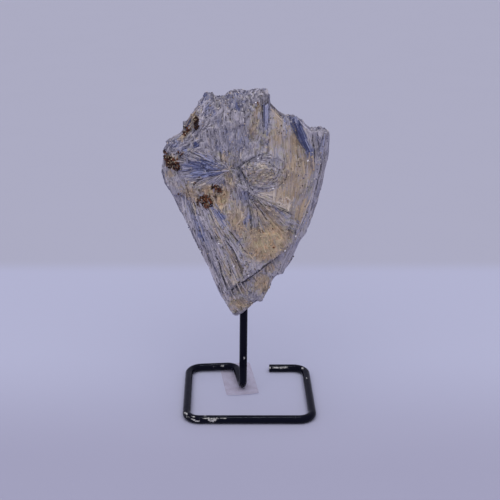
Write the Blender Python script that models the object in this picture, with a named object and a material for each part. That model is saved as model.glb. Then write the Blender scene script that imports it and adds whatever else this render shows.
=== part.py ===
"""Kyanite specimen on a bent wire display stand, with the blank label under the stand's foot.

Lengths are in millimetres and are turned into metres where meshes are made. X runs to the right as
the stone faces the viewer, Y runs away from the viewer and Z is up. The origin is on the table, under
the middle of the whole object.
"""
import math
import random

import bmesh
import bpy
from mathutils import Matrix, Vector, noise
from mathutils.geometry import delaunay_2d_cdt, intersect_point_line

MM = 0.001

# Stand: one round bar, painted. Corners are where the straight runs would meet.
BAR_DIAMETER = 4.8
BAR_SIDES = 16
REST_HEIGHT = BAR_DIAMETER / 2
FOOT_HEIGHT = 3.0
BEND_HEIGHT = 3.2
BASE_FRONT_Y = -38.4
BASE_BACK_Y = 27.6
POST_Y = 1.4
POST_FOOT_X = -1.8
POST_TOP_X = -1.1
POST_TOP_Z = 64.0
CORNER_RADIUS = 8.0
LEG_BEND_RADIUS = 6.5
FOOT_BEND_RADIUS = 4.5
BEND_STEP_DEGREES = 15.0

STAND_ROUTE = [
    # X, Y, Z and the bend radius there
    (15.0, BASE_BACK_Y, REST_HEIGHT, 0.0),
    (38.4, BASE_BACK_Y, REST_HEIGHT, CORNER_RADIUS),
    (39.5, BASE_FRONT_Y, REST_HEIGHT, CORNER_RADIUS),
    (-34.6, BASE_FRONT_Y, REST_HEIGHT, CORNER_RADIUS),
    (-36.8, 28.2, REST_HEIGHT, CORNER_RADIUS),
    (-6.8, 29.1, BEND_HEIGHT, LEG_BEND_RADIUS),
    (POST_FOOT_X, POST_Y, FOOT_HEIGHT, FOOT_BEND_RADIUS),
    (POST_TOP_X, POST_Y, POST_TOP_Z, 0.0),
]

# Label under the foot
LABEL_WIDTH = 20.5
LABEL_LENGTH = 45.0
LABEL_THICKNESS = 0.2
LABEL_FRONT = (-1.6, -5.2)
LABEL_TURN_DEGREES = 8.0
LABEL_CURL_LENGTH = 4.0
LABEL_CURL_HEIGHT = 0.9
LABEL_CURL_STEPS = 4

# Hole in the stone's lower end that takes the top of the post
PIN_GAP = 0.3
PIN_HOLE_MOUTH_Z = 44.0
PIN_HOLE_SIDES = 20

# Stone: outline seen from the front, as X and Z, clockwise from the upper left corner
OUTLINE = [
    (-21.9, 186.3),
    (-15.8, 185.1),
    (-12.4, 185.5),
    (-10.1, 187.3),
    (-6.9, 188.6),
    (1.3, 188.4),
    (4.9, 189.2),
    (10.3, 189.7),
    (12.4, 188.2),
    (14.5, 179.5),
    (16.3, 179.0),
    (19.1, 174.9),
    (24.2, 174.1),
    (26.9, 174.5),
    (31.0, 172.6),
    (34.3, 168.0),
    (36.6, 167.1),
    (44.5, 167.1),
    (47.3, 165.2),
    (47.6, 162.3),
    (46.0, 145.3),
    (44.4, 134.7),
    (39.2, 117.0),
    (34.7, 103.0),
    (32.4, 99.5),
    (27.2, 87.2),
    (23.9, 82.6),
    (22.1, 78.4),
    (18.7, 78.1),
    (15.6, 75.8),
    (14.8, 70.0),
    (12.4, 66.7),
    (11.6, 63.5),
    (9.0, 61.1),
    (6.0, 61.9),
    (-1.8, 53.1),
    (-5.8, 51.7),
    (-7.7, 52.6),
    (-15.4, 65.8),
    (-23.0, 86.6),
    (-27.7, 94.4),
    (-30.9, 103.0),
    (-41.7, 126.9),
    (-45.3, 132.7),
    (-47.6, 139.5),
    (-47.7, 147.2),
    (-45.6, 152.9),
    (-45.0, 158.6),
    (-34.6, 166.1),
    (-31.8, 171.7),
    (-27.5, 177.2),
    (-26.1, 181.8),
    (-23.7, 185.0),
]
RIM_STEP = 4.5
RIM_ROUGHNESS = 0.25
RIM_HALF_THICKNESS = 1.4
WALL_INSET = 1.4
SIDE_FACE_INSET = 3.8
SIDE_FACE_X = (16.0, 28.0)
SIDE_FACE_TOP_Z = 166.0
TOP_FACE_INSET = 3.4
TOP_FACE_Z = (176.0, 183.0)
WALL_DEPTH = 6.0
MID_DEPTH = 10.5
SWELL_LENGTH = 9.0
GRID_STEP = 7.0
GRID_MARGIN = 3.0
UNDULATION = 0.9
UNDULATION_LENGTH = 13.0

# Broad forms on the front: centre X and Z, half-lengths along X and Z, and height
FRONT_SWELLS = [
    (10.6, 144.0, 15.0, 10.5, 1.9),
    (-22.0, 145.0, 11.0, 8.0, 1.1),
    (-18.0, 128.5, 9.0, 8.0, -1.3),
    (30.0, 157.0, 7.0, 12.0, -1.2),
    (15.5, 100.0, 12.0, 12.0, 0.9),
    (13.0, 130.5, 7.0, 3.5, -0.9),
    (-2.0, 172.0, 12.0, 10.0, 0.8),
]
BACK_SWELLS = [
    (-14.0, 150.0, 18.0, 14.0, 1.6),
    (18.0, 128.0, 14.0, 20.0, -1.4),
    (2.0, 98.0, 12.0, 18.0, 1.2),
]

# Ledge on the lower front: the break runs between these points and the block below it is set back
LEDGE_LINE = ((-6.5, 70.5), (19.0, 91.5))
LEDGE_DROP = 1.8
LEDGE_POINT_GAP = 0.8

# Sheaves of blades. Each spreads its roots along a line and turns its blades from one angle to the
# other, in degrees counted from +X towards +Z. Lengths, widths and rises are (least, most).
FRONT_SHEAVES = [
    # roots from, roots to, angles, count, lengths, widths, rises
    ((-11.0, 149.0), (-12.5, 141.0), (146, 208), 10, (12, 23), (2.2, 3.4), (0.6, 1.5)),
    ((-26.0, 155.0), (-27.0, 168.0), (60, 80), 4, (11, 17), (2.4, 3.8), (0.6, 1.2)),
    ((-20.0, 153.0), (9.0, 156.0), (99, 85), 11, (15, 29), (2.2, 4.2), (0.6, 1.5)),
    ((-16.0, 166.0), (5.0, 168.0), (102, 80), 5, (9, 16), (2.2, 3.4), (0.8, 1.5)),
    ((-38.0, 120.0), (-17.0, 117.0), (-66, -58), 8, (18, 36), (2.4, 4.4), (0.6, 1.6)),
    ((-27.0, 98.0), (-7.0, 108.0), (-65, -60), 8, (18, 34), (2.2, 3.8), (0.6, 1.6)),
    ((-41.0, 141.0), (-31.0, 134.0), (-78, -64), 4, (9, 15), (2.4, 3.6), (0.5, 1.1)),
    ((2.0, 131.0), (3.0, 127.0), (-20, -92), 8, (11, 22), (2.0, 3.2), (0.6, 1.5)),
    ((-1.0, 133.0), (1.0, 131.0), (112, 162), 4, (9, 15), (1.8, 2.8), (0.5, 1.2)),
    ((23.0, 146.0), (41.0, 158.0), (-86, -79), 7, (16, 32), (2.2, 4.0), (0.6, 1.5)),
    ((21.0, 122.0), (37.0, 126.0), (-92, -106), 6, (13, 26), (2.2, 4.0), (0.6, 1.5)),
    ((3.0, 110.0), (22.0, 108.0), (-84, -98), 6, (11, 19), (2.4, 4.2), (0.6, 1.5)),
    ((-3.0, 72.0), (14.0, 80.0), (-98, -88), 5, (8, 15), (2.4, 3.6), (0.6, 1.4)),
]
BACK_SHEAVES = [
    ((-6.0, 152.0), (4.0, 140.0), (60, 190), 9, (18, 30), (3.4, 5.6), (0.8, 2.0)),
    ((12.0, 150.0), (34.0, 148.0), (98, 70), 5, (14, 22), (3.2, 5.2), (0.8, 1.8)),
    ((4.0, 138.0), (26.0, 134.0), (-100, -72), 6, (24, 40), (3.4, 5.6), (0.8, 2.0)),
    ((-34.0, 128.0), (-6.0, 124.0), (-66, -58), 6, (24, 42), (3.4, 5.2), (0.8, 2.0)),
    ((-16.0, 92.0), (10.0, 92.0), (-68, -100), 4, (16, 26), (3.0, 4.6), (0.7, 1.6)),
]

# Single large blades on the front: from, to, width and rise
FRONT_BLADES = [
    ((11.2, 187.0), (12.0, 161.5), 4.6, 1.4),
    ((25.4, 173.2), (37.2, 151.4), 4.8, 1.7),
    ((25.0, 172.0), (21.2, 164.5), 3.4, 1.0),
    ((0.5, 147.0), (-5.5, 141.0), 2.6, 1.1),
    ((-2.0, 150.8), (9.0, 153.6), 2.4, 1.0),
    ((9.0, 153.8), (21.0, 150.0), 2.6, 1.1),
    ((20.5, 150.5), (25.5, 143.0), 2.6, 1.1),
    ((-44.0, 139.0), (-38.5, 129.0), 3.0, 0.9),
    ((41.8, 163.0), (45.0, 146.0), 2.6, 0.9),
]

# Garnets in the front: centre X and Z, radius and how far the centre lies above the stone
GARNETS = [
    (-39.6, 149.6, 2.7, 0.2),
    (-37.2, 146.2, 2.3, 0.3),
    (-42.2, 147.4, 2.2, 0.1),
    (-44.6, 150.6, 1.9, 0.0),
    (-40.4, 144.6, 1.8, 0.1),
    (-27.6, 171.6, 2.0, 0.3),
    (-27.0, 168.2, 1.8, 0.2),
    (-34.6, 165.0, 1.8, 0.2),
    (-25.0, 126.4, 1.9, 0.2),
    (-21.8, 123.6, 2.0, 0.3),
    (-23.8, 121.4, 1.6, 0.1),
    (-16.4, 134.4, 1.7, 0.2),
    (-18.8, 132.0, 1.4, 0.1),
]
GARNET_SEED = 7
BLADE_SEED = 3
RIM_SEED = 5
BLADE_ROOT_DEPTH = 2.2
SHORTEST_BLADE = 6.0
BLADE_EDGE_MARGIN = 1.8
ROOT_SCATTER_ALONG = 4.5
ROOT_SCATTER_ACROSS = 1.2

KYANITE_COLOUR = (0.20, 0.19, 0.22, 1.0)
PAINT_COLOUR = (0.008, 0.008, 0.011, 1.0)
LABEL_COLOUR = (0.52, 0.45, 0.50, 0.6)


def clear_scene():
    """Start from an empty scene."""
    for thing in list(bpy.data.objects):
        bpy.data.objects.remove(thing, do_unlink=True)


def make_material(name, colour, roughness, metallic=0.0):
    """A plain Principled material."""
    material = bpy.data.materials.new(name)
    material.use_nodes = True
    shader = material.node_tree.nodes["Principled BSDF"]
    shader.inputs["Base Color"].default_value = colour
    shader.inputs["Roughness"].default_value = roughness
    shader.inputs["Metallic"].default_value = metallic
    return material


def add_object(name, bm, material, collection=None):
    """Turn a bmesh in millimetres into a named object in metres."""
    bmesh.ops.recalc_face_normals(bm, faces=bm.faces)
    bmesh.ops.scale(bm, vec=Vector((MM, MM, MM)), verts=bm.verts)
    mesh = bpy.data.meshes.new(name)
    bm.to_mesh(mesh)
    bm.free()
    thing = bpy.data.objects.new(name, mesh)
    if material is not None:
        mesh.materials.append(material)
    (collection or bpy.context.scene.collection).objects.link(thing)
    return thing


def smoothstep(low, high, value):
    """0 below low, 1 above high and a smooth rise between them."""
    t = min(max((value - low) / (high - low), 0.0), 1.0)
    return t * t * (3.0 - 2.0 * t)


def rounded_route(corners):
    """The bar's centre line: straight runs joined by arcs of the given radii."""
    points = [Vector(corners[0][:3])]
    for before, corner, after in zip(corners, corners[1:], corners[2:]):
        here = Vector(corner[:3])
        into = (here - Vector(before[:3])).normalized()
        out = (Vector(after[:3]) - here).normalized()
        turn = into.angle(out)
        radius = corner[3]
        start = here - into * radius * math.tan(turn / 2)
        axis = into.cross(out).normalized()
        centre = start + axis.cross(into) * radius
        steps = max(2, round(math.degrees(turn) / BEND_STEP_DEGREES))
        for step in range(steps + 1):
            swing = Matrix.Rotation(turn * step / steps, 3, axis)
            points.append(centre + swing @ (start - centre))
    points.append(Vector(corners[-1][:3]))
    return points


def swept_bar(points, diameter, sides, side_up):
    """A bar of flat-sided round section along the points, with one flat facing down at the start."""
    bm = bmesh.new()
    corner_radius = diameter / 2 / math.cos(math.pi / sides)
    rings = []
    direction = (points[1] - points[0]).normalized()
    up = side_up.copy()
    last = len(points) - 1
    for i, point in enumerate(points):
        ahead = (points[i + 1] - point).normalized() if i < last else direction
        behind = (point - points[i - 1]).normalized() if i else ahead
        tangent = (ahead + behind).normalized()
        up = (direction.rotation_difference(tangent) @ up).normalized()
        direction = tangent
        across = tangent.cross(up)
        stretch = 1.0 / max(tangent.dot(ahead), 0.5)
        bend_side = ahead - behind
        bend_side = bend_side.normalized() if bend_side.length > 1e-6 else Vector((0, 0, 0))
        ring = []
        for k in range(sides):
            angle = 2 * math.pi * (k + 0.5) / sides
            offset = up * math.cos(angle) + across * math.sin(angle)
            offset += bend_side * offset.dot(bend_side) * (stretch - 1.0)
            ring.append(bm.verts.new(point + offset * corner_radius))
        rings.append(ring)
    for ring, following in zip(rings, rings[1:]):
        for k in range(sides):
            j = (k + 1) % sides
            bm.faces.new((ring[k], ring[j], following[j], following[k]))
    bm.faces.new(rings[0])
    bm.faces.new(rings[-1])
    return bm


def build_stand(material):
    """The whole stand, from the cut end at the back right to the top of the post."""
    bm = swept_bar(rounded_route(STAND_ROUTE), BAR_DIAMETER, BAR_SIDES, Vector((0, 0, 1)))
    stand = add_object("wire_stand", bm, material)
    stand.data.shade_smooth()
    stand.data.set_sharp_from_angle(angle=math.radians(40))
    return stand


def build_label(material):
    """A thin flat label whose front edge curls up."""
    bm = bmesh.new()
    stations = [(LABEL_LENGTH, 0.0)]
    for step in range(LABEL_CURL_STEPS + 1):
        share = step / LABEL_CURL_STEPS
        stations.append((LABEL_CURL_LENGTH * (1 - share), LABEL_CURL_HEIGHT * share * share))
    rows = []
    for along, height in stations:
        row = []
        for across, rise in ((-1, 0), (1, 0), (1, 1), (-1, 1)):
            z = height + rise * LABEL_THICKNESS
            row.append(bm.verts.new((across * LABEL_WIDTH / 2, along, z)))
        rows.append(row)
    for row, following in zip(rows, rows[1:]):
        for k in range(4):
            j = (k + 1) % 4
            bm.faces.new((row[k], row[j], following[j], following[k]))
    bm.faces.new(rows[0])
    bm.faces.new(rows[-1])
    turn = Matrix.Rotation(math.radians(LABEL_TURN_DEGREES), 4, "Z")
    place = Matrix.Translation((*LABEL_FRONT, 0.0)) @ turn
    bmesh.ops.transform(bm, matrix=place, verts=bm.verts)
    return add_object("blank_label", bm, material)


def rim_points():
    """The stone's outline with long runs divided and slightly roughened."""
    chance = random.Random(RIM_SEED)
    points = []
    for start, end in zip(OUTLINE, OUTLINE[1:] + OUTLINE[:1]):
        a, b = Vector(start), Vector(end)
        count = max(1, round((b - a).length / RIM_STEP))
        points.append(a)
        normal = Vector((b.y - a.y, a.x - b.x)).normalized()
        for k in range(1, count):
            inward = -normal * chance.uniform(0, 2 * RIM_ROUGHNESS)
            points.append(a.lerp(b, k / count) + inward)
    return points


RIM = rim_points()


def rim_distance(x, z):
    """Distance to the outline in the front view, counted as positive inside the stone."""
    here = Vector((x, z))
    nearest = 1e9
    inside = False
    for a, b in zip(RIM, RIM[1:] + RIM[:1]):
        foot, along = intersect_point_line(here, a, b)
        foot = Vector(a) if along < 0 else Vector(b) if along > 1 else Vector(foot[:2])
        nearest = min(nearest, (here - foot.to_2d()).length)
        if (a.y > z) != (b.y > z) and x < a.x + (z - a.y) / (b.y - a.y) * (b.x - a.x):
            inside = not inside
    return nearest if inside else -nearest


def wall_inset(x, z, side):
    """How far inside the outline the stone's face begins: wide on the front's right and top."""
    if side > 0:
        return WALL_INSET * 1.5
    right = smoothstep(*SIDE_FACE_X, x) * (1.0 - smoothstep(SIDE_FACE_TOP_Z - 4, SIDE_FACE_TOP_Z, z))
    top = smoothstep(*TOP_FACE_Z, z)
    wide = max(right * SIDE_FACE_INSET, top * TOP_FACE_INSET)
    return max(WALL_INSET, wide)


def below_ledge(x, z):
    """Signed distance from the ledge's line, positive on the block below it."""
    a, b = (Vector(p) for p in LEDGE_LINE)
    along = (b - a).normalized()
    return (Vector((x, z)) - a).dot(Vector((along.y, -along.x)))


def face_depth(x, z, side):
    """How far the front (side -1) or back (side +1) lies from the stone's middle plane."""
    distance = max(rim_distance(x, z), 0.0)
    inset = wall_inset(x, z, side)
    rise = min(distance / inset, 1.0)
    depth = RIM_HALF_THICKNESS + (WALL_DEPTH - RIM_HALF_THICKNESS) * rise
    depth += (MID_DEPTH - WALL_DEPTH) * (1.0 - math.exp(-max(distance - inset, 0.0) / SWELL_LENGTH))
    inner = smoothstep(0.0, 7.0, distance)
    place = Vector((x / UNDULATION_LENGTH, side * 5.0, z / UNDULATION_LENGTH))
    depth += UNDULATION * noise.noise(place) * 2.0 * inner
    for centre_x, centre_z, half_x, half_z, height in FRONT_SWELLS if side < 0 else BACK_SWELLS:
        reach = math.hypot((x - centre_x) / half_x, (z - centre_z) / half_z)
        depth += height * (1.0 - smoothstep(0.25, 1.0, reach)) * inner
    if side < 0:
        beyond = below_ledge(x, z)
        depth -= LEDGE_DROP * smoothstep(-0.2, LEDGE_POINT_GAP, beyond) * smoothstep(0.0, 3.0, distance)
    return depth


def face_points(side):
    """Points of one face in the front view: a row along the wall's top, a loose grid and the ledge."""
    chance = random.Random(RIM_SEED + side)
    points = []
    for before, here, after in zip(RIM[-1:] + RIM[:-1], RIM, RIM[1:] + RIM[:1]):
        run = after - before
        inward = Vector((run.y, -run.x)).normalized()
        inset = wall_inset(here.x, here.y, side)
        point = here + inward * inset
        if rim_distance(*point) > 0.75 * inset:
            points.append(point)
    if side < 0:
        a, b = (Vector(p) for p in LEDGE_LINE)
        across = Vector(((b - a).y, -(b - a).x)).normalized()
        count = round((b - a).length / 3.0)
        for k in range(count + 1):
            for offset in (-0.2, LEDGE_POINT_GAP):
                point = a.lerp(b, k / count) + across * offset
                if rim_distance(*point) > 1.0:
                    points.append(point)
    rows = int(150 / GRID_STEP) + 1
    columns = int(104 / GRID_STEP) + 1
    for row in range(rows):
        for column in range(columns):
            x = -50 + (column + 0.5 * (row % 2)) * GRID_STEP + chance.uniform(-1.3, 1.3)
            z = 48 + row * GRID_STEP + chance.uniform(-1.3, 1.3)
            clear = all((Vector((x, z)) - p).length > 0.45 * GRID_STEP for p in points)
            if clear and rim_distance(x, z) > wall_inset(x, z, side) + GRID_MARGIN:
                points.append(Vector((x, z)))
    return points


def build_core(material):
    """The stone's body: two uneven faces joined by a narrow rim."""
    bm = bmesh.new()
    chance = random.Random(RIM_SEED + 10)
    rims = {}
    for side in (-1, 1):
        ring = []
        for point in RIM:
            depth = RIM_HALF_THICKNESS * chance.uniform(0.6, 1.3)
            ring.append(bm.verts.new((point.x, POST_Y + side * depth, point.y)))
        rims[side] = ring
    for k in range(len(RIM)):
        j = (k + 1) % len(RIM)
        bm.faces.new((rims[-1][k], rims[-1][j], rims[1][j], rims[1][k]))
    for side in (-1, 1):
        inner = face_points(side)
        outline = list(range(len(RIM)))
        flat, _, triangles, _, _, _ = delaunay_2d_cdt(RIM + inner, [], [outline], 1, 1e-5)
        verts = list(rims[side])
        for point in flat[len(RIM):]:
            depth = face_depth(point.x, point.y, side)
            verts.append(bm.verts.new((point.x, POST_Y + side * depth, point.y)))
        for triangle in triangles:
            bm.faces.new([verts[i] for i in triangle])
    return add_object("kyanite", bm, material)


def add_blade(start, end, width, rise, side, chance, collection):
    """One flat blade half sunk in the face, with a bevelled long edge and a slanted tip."""
    ends = []
    for point in (start, end):
        depth = face_depth(point.x, point.y, side) + rise * chance.uniform(0.7, 1.1)
        ends.append(Vector((point.x, POST_Y + side * depth, point.y)))
    along = (ends[1] - ends[0]).normalized()
    outward = Vector((0, side, 0))
    across = along.cross(outward).normalized()
    raised = across.cross(along).normalized()
    roll = Matrix.Rotation(math.radians(chance.uniform(-13, 13)), 3, along)
    across, raised = roll @ across, roll @ raised
    if raised.dot(outward) < 0:
        raised = -raised
    bevel = chance.uniform(0.35, 0.65) * rise
    shoulder = chance.choice((-1, 1))
    floor = -(rise + BLADE_ROOT_DEPTH)
    section = [
        (-0.5 * width, 0.0),
        (0.22 * width, 0.0),
        (0.5 * width, -bevel),
        (0.5 * width, floor),
        (-0.5 * width, floor),
    ]
    slant = chance.uniform(0.4, 1.1) * chance.choice((-1, 1))
    bm = bmesh.new()
    rings = []
    for base, lean in ((ends[0], 0.0), (ends[1], slant)):
        ring = []
        for s, n in section:
            ring.append(bm.verts.new(base + across * s * shoulder + raised * n + along * s * lean))
        rings.append(ring)
    for k in range(len(section)):
        j = (k + 1) % len(section)
        bm.faces.new((rings[0][k], rings[0][j], rings[1][j], rings[1][k]))
    bm.faces.new(rings[0])
    bm.faces.new(rings[1])
    blade = add_object("blade", bm, None, collection)
    hide_guide(blade)


def hide_guide(thing):
    """Mark an object as one that only shapes another."""
    thing.hide_render = True
    thing.display_type = "WIRE"


def grow_sheaf(sheaf, side, chance, collection):
    """The blades of one sheaf, each shortened until it ends inside the outline."""
    first, last, angles, count, lengths, widths, rises = sheaf
    for k in range(count):
        share = (k + 0.5) / count
        angle = math.radians(angles[0] + (angles[1] - angles[0]) * share + chance.uniform(-4, 4))
        heading = Vector((math.cos(angle), math.sin(angle)))
        root = Vector(first).lerp(Vector(last), share)
        root += heading * chance.uniform(-0.2, 1.0) * ROOT_SCATTER_ALONG
        root += heading.orthogonal() * chance.uniform(-1, 1) * ROOT_SCATTER_ACROSS
        length = chance.uniform(*lengths)
        while length > SHORTEST_BLADE and rim_distance(*(root + heading * length)) < BLADE_EDGE_MARGIN:
            length -= 1.0
        width = chance.uniform(*widths)
        rise = chance.uniform(*rises)
        if length > SHORTEST_BLADE and rim_distance(*root) > BLADE_EDGE_MARGIN:
            add_blade(root, root + heading * length, width, rise, side, chance, collection)


def grow_garnets(collection):
    """Small many-faced garnets standing out of the front."""
    chance = random.Random(GARNET_SEED)
    for x, z, radius, lift in GARNETS:
        bm = bmesh.new()
        bmesh.ops.create_icosphere(bm, subdivisions=1, radius=radius)
        turn = Matrix.Rotation(chance.uniform(0, math.pi), 4, Vector((0.3, 1.0, 0.5)))
        y = POST_Y - face_depth(x, z, -1) - lift
        bmesh.ops.transform(bm, matrix=Matrix.Translation((x, y, z)) @ turn, verts=bm.verts)
        hide_guide(add_object("garnet", bm, None, collection))


def pin_hole():
    """The round cutter for the blind hole, in line with the post."""
    bm = bmesh.new()
    top = Vector((POST_TOP_X, POST_Y, POST_TOP_Z))
    foot = Vector((POST_FOOT_X, POST_Y, FOOT_HEIGHT))
    axis = (top - foot).normalized()
    end = top + axis * PIN_GAP
    mouth = foot + axis * (PIN_HOLE_MOUTH_Z - foot.z)
    radius = (BAR_DIAMETER / 2 + PIN_GAP) / math.cos(math.pi / PIN_HOLE_SIDES)
    turn = Vector((0, 0, 1)).rotation_difference(axis).to_matrix().to_4x4()
    place = Matrix.Translation((mouth + end) / 2) @ turn
    bmesh.ops.create_cone(
        bm,
        cap_ends=True,
        segments=PIN_HOLE_SIDES,
        radius1=radius,
        radius2=radius,
        depth=(end - mouth).length,
        matrix=place,
    )
    cutter = add_object("pin_hole", bm, None)
    hide_guide(cutter)
    return cutter


def build_stone(material):
    """The core with its blades and garnets grown into it and the hole drilled from below."""
    stone = build_core(material)
    growth = bpy.data.collections.new("growth")
    bpy.context.scene.collection.children.link(growth)
    chance = random.Random(BLADE_SEED)
    for side, sheaves in ((-1, FRONT_SHEAVES), (1, BACK_SHEAVES)):
        for sheaf in sheaves:
            grow_sheaf(sheaf, side, chance, growth)
    for start, end, width, rise in FRONT_BLADES:
        add_blade(Vector(start), Vector(end), width, rise, -1, chance, growth)
    grow_garnets(growth)
    union = stone.modifiers.new("growth", "BOOLEAN")
    union.operation = "UNION"
    union.operand_type = "COLLECTION"
    union.collection = growth
    union.solver = "EXACT"
    drill = stone.modifiers.new("pin hole", "BOOLEAN")
    drill.operation = "DIFFERENCE"
    drill.object = pin_hole()
    drill.solver = "EXACT"
    return stone


def main():
    clear_scene()
    build_stand(make_material("black_paint", PAINT_COLOUR, 0.28))
    build_label(make_material("label_film", LABEL_COLOUR, 0.5))
    build_stone(make_material("kyanite", KYANITE_COLOUR, 0.45))


main()
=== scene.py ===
"""Looks of a kyanite specimen on its bent wire stand.

The stone is worked out in millimetres and turned into metres when a mesh is made: X runs to the right,
Y away from the viewer and Z up. Every point of the stone has a grain: its place across and along the
fibres of the zone that it lies in.
"""
import itertools
import math
import random

import bmesh
import bpy
import numpy as np
from bpy.props import FloatProperty, FloatVectorProperty, IntProperty, PointerProperty
from mathutils import Matrix, Vector
from mathutils.bvhtree import BVHTree


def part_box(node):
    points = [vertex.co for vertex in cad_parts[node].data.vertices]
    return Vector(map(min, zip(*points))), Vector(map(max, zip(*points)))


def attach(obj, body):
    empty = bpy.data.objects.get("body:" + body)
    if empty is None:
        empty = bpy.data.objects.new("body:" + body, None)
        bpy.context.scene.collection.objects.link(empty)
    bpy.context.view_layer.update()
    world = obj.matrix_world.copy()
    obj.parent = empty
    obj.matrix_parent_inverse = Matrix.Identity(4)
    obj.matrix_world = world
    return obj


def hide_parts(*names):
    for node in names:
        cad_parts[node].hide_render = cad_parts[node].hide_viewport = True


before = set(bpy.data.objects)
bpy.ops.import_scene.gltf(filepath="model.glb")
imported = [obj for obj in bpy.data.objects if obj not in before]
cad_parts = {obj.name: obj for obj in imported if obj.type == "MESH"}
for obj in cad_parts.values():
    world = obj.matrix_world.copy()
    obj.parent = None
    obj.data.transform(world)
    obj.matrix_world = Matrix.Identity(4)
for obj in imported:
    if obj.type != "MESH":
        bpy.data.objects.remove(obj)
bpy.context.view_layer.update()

bl_info = {
    "name": "Kyanite on a wire stand",
    "version": (1, 0, 0),
    "blender": (4, 5, 0),
    "location": "3D View > Sidebar > Kyanite",
    "description": "Grows a bladed kyanite stone and dresses its bent wire stand and label",
    "category": "Add Mesh",
}

MM = 0.001
BODY = "root"
STONE = "kyanite"
STAND = "wire_stand"
LABEL = "blank_label"

# The stone's middle plane and the post that stands in it
POST_Y = 1.4
POST_FOOT = Vector((-1.8, POST_Y, 3.0))
POST_TOP = Vector((-1.1, POST_Y, 64.0))
PIN_CLEARANCE = 3.6
PIN_CLEARANCE_END = 6.0

# Seeds, and how many places are tried or how fine a piece is
BLADE_SEEDS = (61, 62)
SPLINTER_SEED, SPLINTER_COUNT = 63, 620
NAMED_LATH_SEED = 9000
PARTING_SEED = 9500
GARNET_SEED = 71
GRAIN_SEED = 81
FLAKE_SEED, FLAKE_COUNT = 91, 70
NORMAL_ROUNDS = 26
TEXTURE_ROUNDS = 3
BAR_SIDES = 40
BAR_STEP = 0.6
BAR_BEND_DEGREES = 4.0
BAR_START_CHAMFER, BAR_END_CHAMFER = 0.35, 0.3
LABEL_COLUMNS, LABEL_ROWS = 24, 52
LABEL_THICKNESS = 0.14
LABEL_FRONT = (-1.6, -5.15, 0.0)
LABEL_TURN_DEGREES = 8.0
LABEL_CURL_LENGTH, LABEL_CURL_HEIGHT = 4.2, 0.84
FLOOR_RADIUS = 4.0
FLOOR_DROP = 0.00005

# Tints that the settings' colours are mixed with
OLIVE_SHADE, OLIVE = (0.14, 0.14, 0.10, 1), (0.50, 0.48, 0.36, 1)
STRAW = (0.66, 0.55, 0.32, 1)
RUST_SHADE = (0.05, 0.03, 0.02, 1)
# Dark brown, for the darker ground of the nests and the painted shade of partings near ochre
DARK_BROWN = (0.05, 0.026, 0.016, 1)
# The flakes' two near-white tints are painted glints
MICA_AND_GLINT = (0.80, 0.76, 0.80, 1)
DUST = (0.03, 0.03, 0.034, 1)
# Light film edge colour: a painted highlight on the curled front edge
FILM_EDGE_HIGHLIGHT = (0.92, 0.84, 0.90, 1)
FLOOR_CLOUD = (0.5, 0.5, 0.62, 1)

# Zones of the front and back. A fan's fibres run away from its apex, and a ring's run round its centre.
FRONT_ZONES = [
    # name, kind, centre X and Z, half-lengths, apex, planks' width and length, disorder in degrees, contrast,
    # lightness
    ("crown", "fan", (-3, 184), (22, 6), (-1, 60), 2.6, 4, 26, 0.8, -0.2),
    ("corner", "fan", (-21, 178), (8, 11), (-34, 150), 2.4, 5, 22, 0.95, 0.06),
    ("upper", "fan", (-5, 163), (17, 15), (-1, 36), 2.3, 6, 15, 0.75, 0.0),
    ("shoulder", "fan", (-37, 160), (10, 8), (-60, 130), 2.4, 5, 30, 0.9, -0.08),
    ("spray", "fan", (-24, 146), (15, 8.5), (-9, 145.5), 1.9, 11, 5, 1.25, 0.16),
    ("cheek", "fan", (-40, 136), (8, 9), (-52, 175), 2.4, 7, 14, 0.6, 0.05),
    ("nest", "fan", (-21, 127.5), (11, 7.5), (-26, 200), 3.0, 4, 50, 0.8, 0.12),
    ("slope", "fan", (-21, 98), (15, 25), (-42, 160), 2.5, 22, 4, 1.05, 0.24),
    ("heart", "fan", (-6, 124), (7, 18), (-14, 210), 2.2, 7, 15, 0.75, 0.14),
    ("band", "fan", (-1, 140), (5.5, 7), (3, 130), 1.8, 5, 12, 1.0, 0.02),
    ("eye", "ring", (10.6, 143), (13.5, 9.5), (10.6, 142.7), 1.8, 4, 46, 0.8, 0.06),
    ("star", "fan", (13, 118), (13, 11), (1.5, 132), 1.9, 12, 6, 0.8, 0.04),
    ("right_upper", "fan", (29, 160), (14, 14), (13, 300), 3.0, 15, 5, 0.6, 0.03),
    ("right_field", "fan", (29, 134), (11, 15), (19, 60), 3.0, 14, 6, 0.35, 0.0),
    ("apron", "fan", (11, 98), (14, 12), (4, 132), 2.6, 8, 14, 0.5, 0.09),
    ("step", "fan", (8, 74), (9, 9), (14, 150), 2.6, 6, 18, 0.75, 0.1),
    ("tip", "fan", (-5, 61), (9, 8), (-40, 140), 2.4, 4, 40, 0.75, 0.05),
]
BACK_ZONES = [
    ("back_crown", "fan", (-14, 166), (24, 18), (-2, 118), 2.6, 9, 12, 0.7, 0.05),
    ("back_right", "fan", (27, 158), (16, 17), (20, 70), 2.6, 12, 9, 0.6, 0.0),
    ("back_fall", "fan", (19, 118), (14, 26), (6, 260), 2.4, 15, 8, 0.7, 0.05),
    ("back_slope", "fan", (-24, 116), (17, 22), (-48, 240), 2.5, 13, 9, 0.75, 0.0),
    ("back_knot", "ring", (1, 138), (12, 11), (0, 137), 2.1, 6, 28, 0.7, 0.1),
    ("back_heel", "fan", (-6, 100), (11, 17), (16, 220), 2.4, 10, 13, 0.7, 0.08),
    ("back_tip", "fan", (-2, 72), (15, 15), (-12, 160), 2.4, 6, 22, 0.7, 0.04),
]
ZONE_COUNT = len(FRONT_ZONES) + len(BACK_ZONES)
SIDE_FACE_ZONE = ZONE_COUNT
FLANK_ZONE = ZONE_COUNT + 1
END_ZONE = ZONE_COUNT + 2
GRANULAR_ZONES = [number for number, zone in enumerate(FRONT_ZONES) if zone[0] in ("nest", "apron", "tip")]
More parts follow.
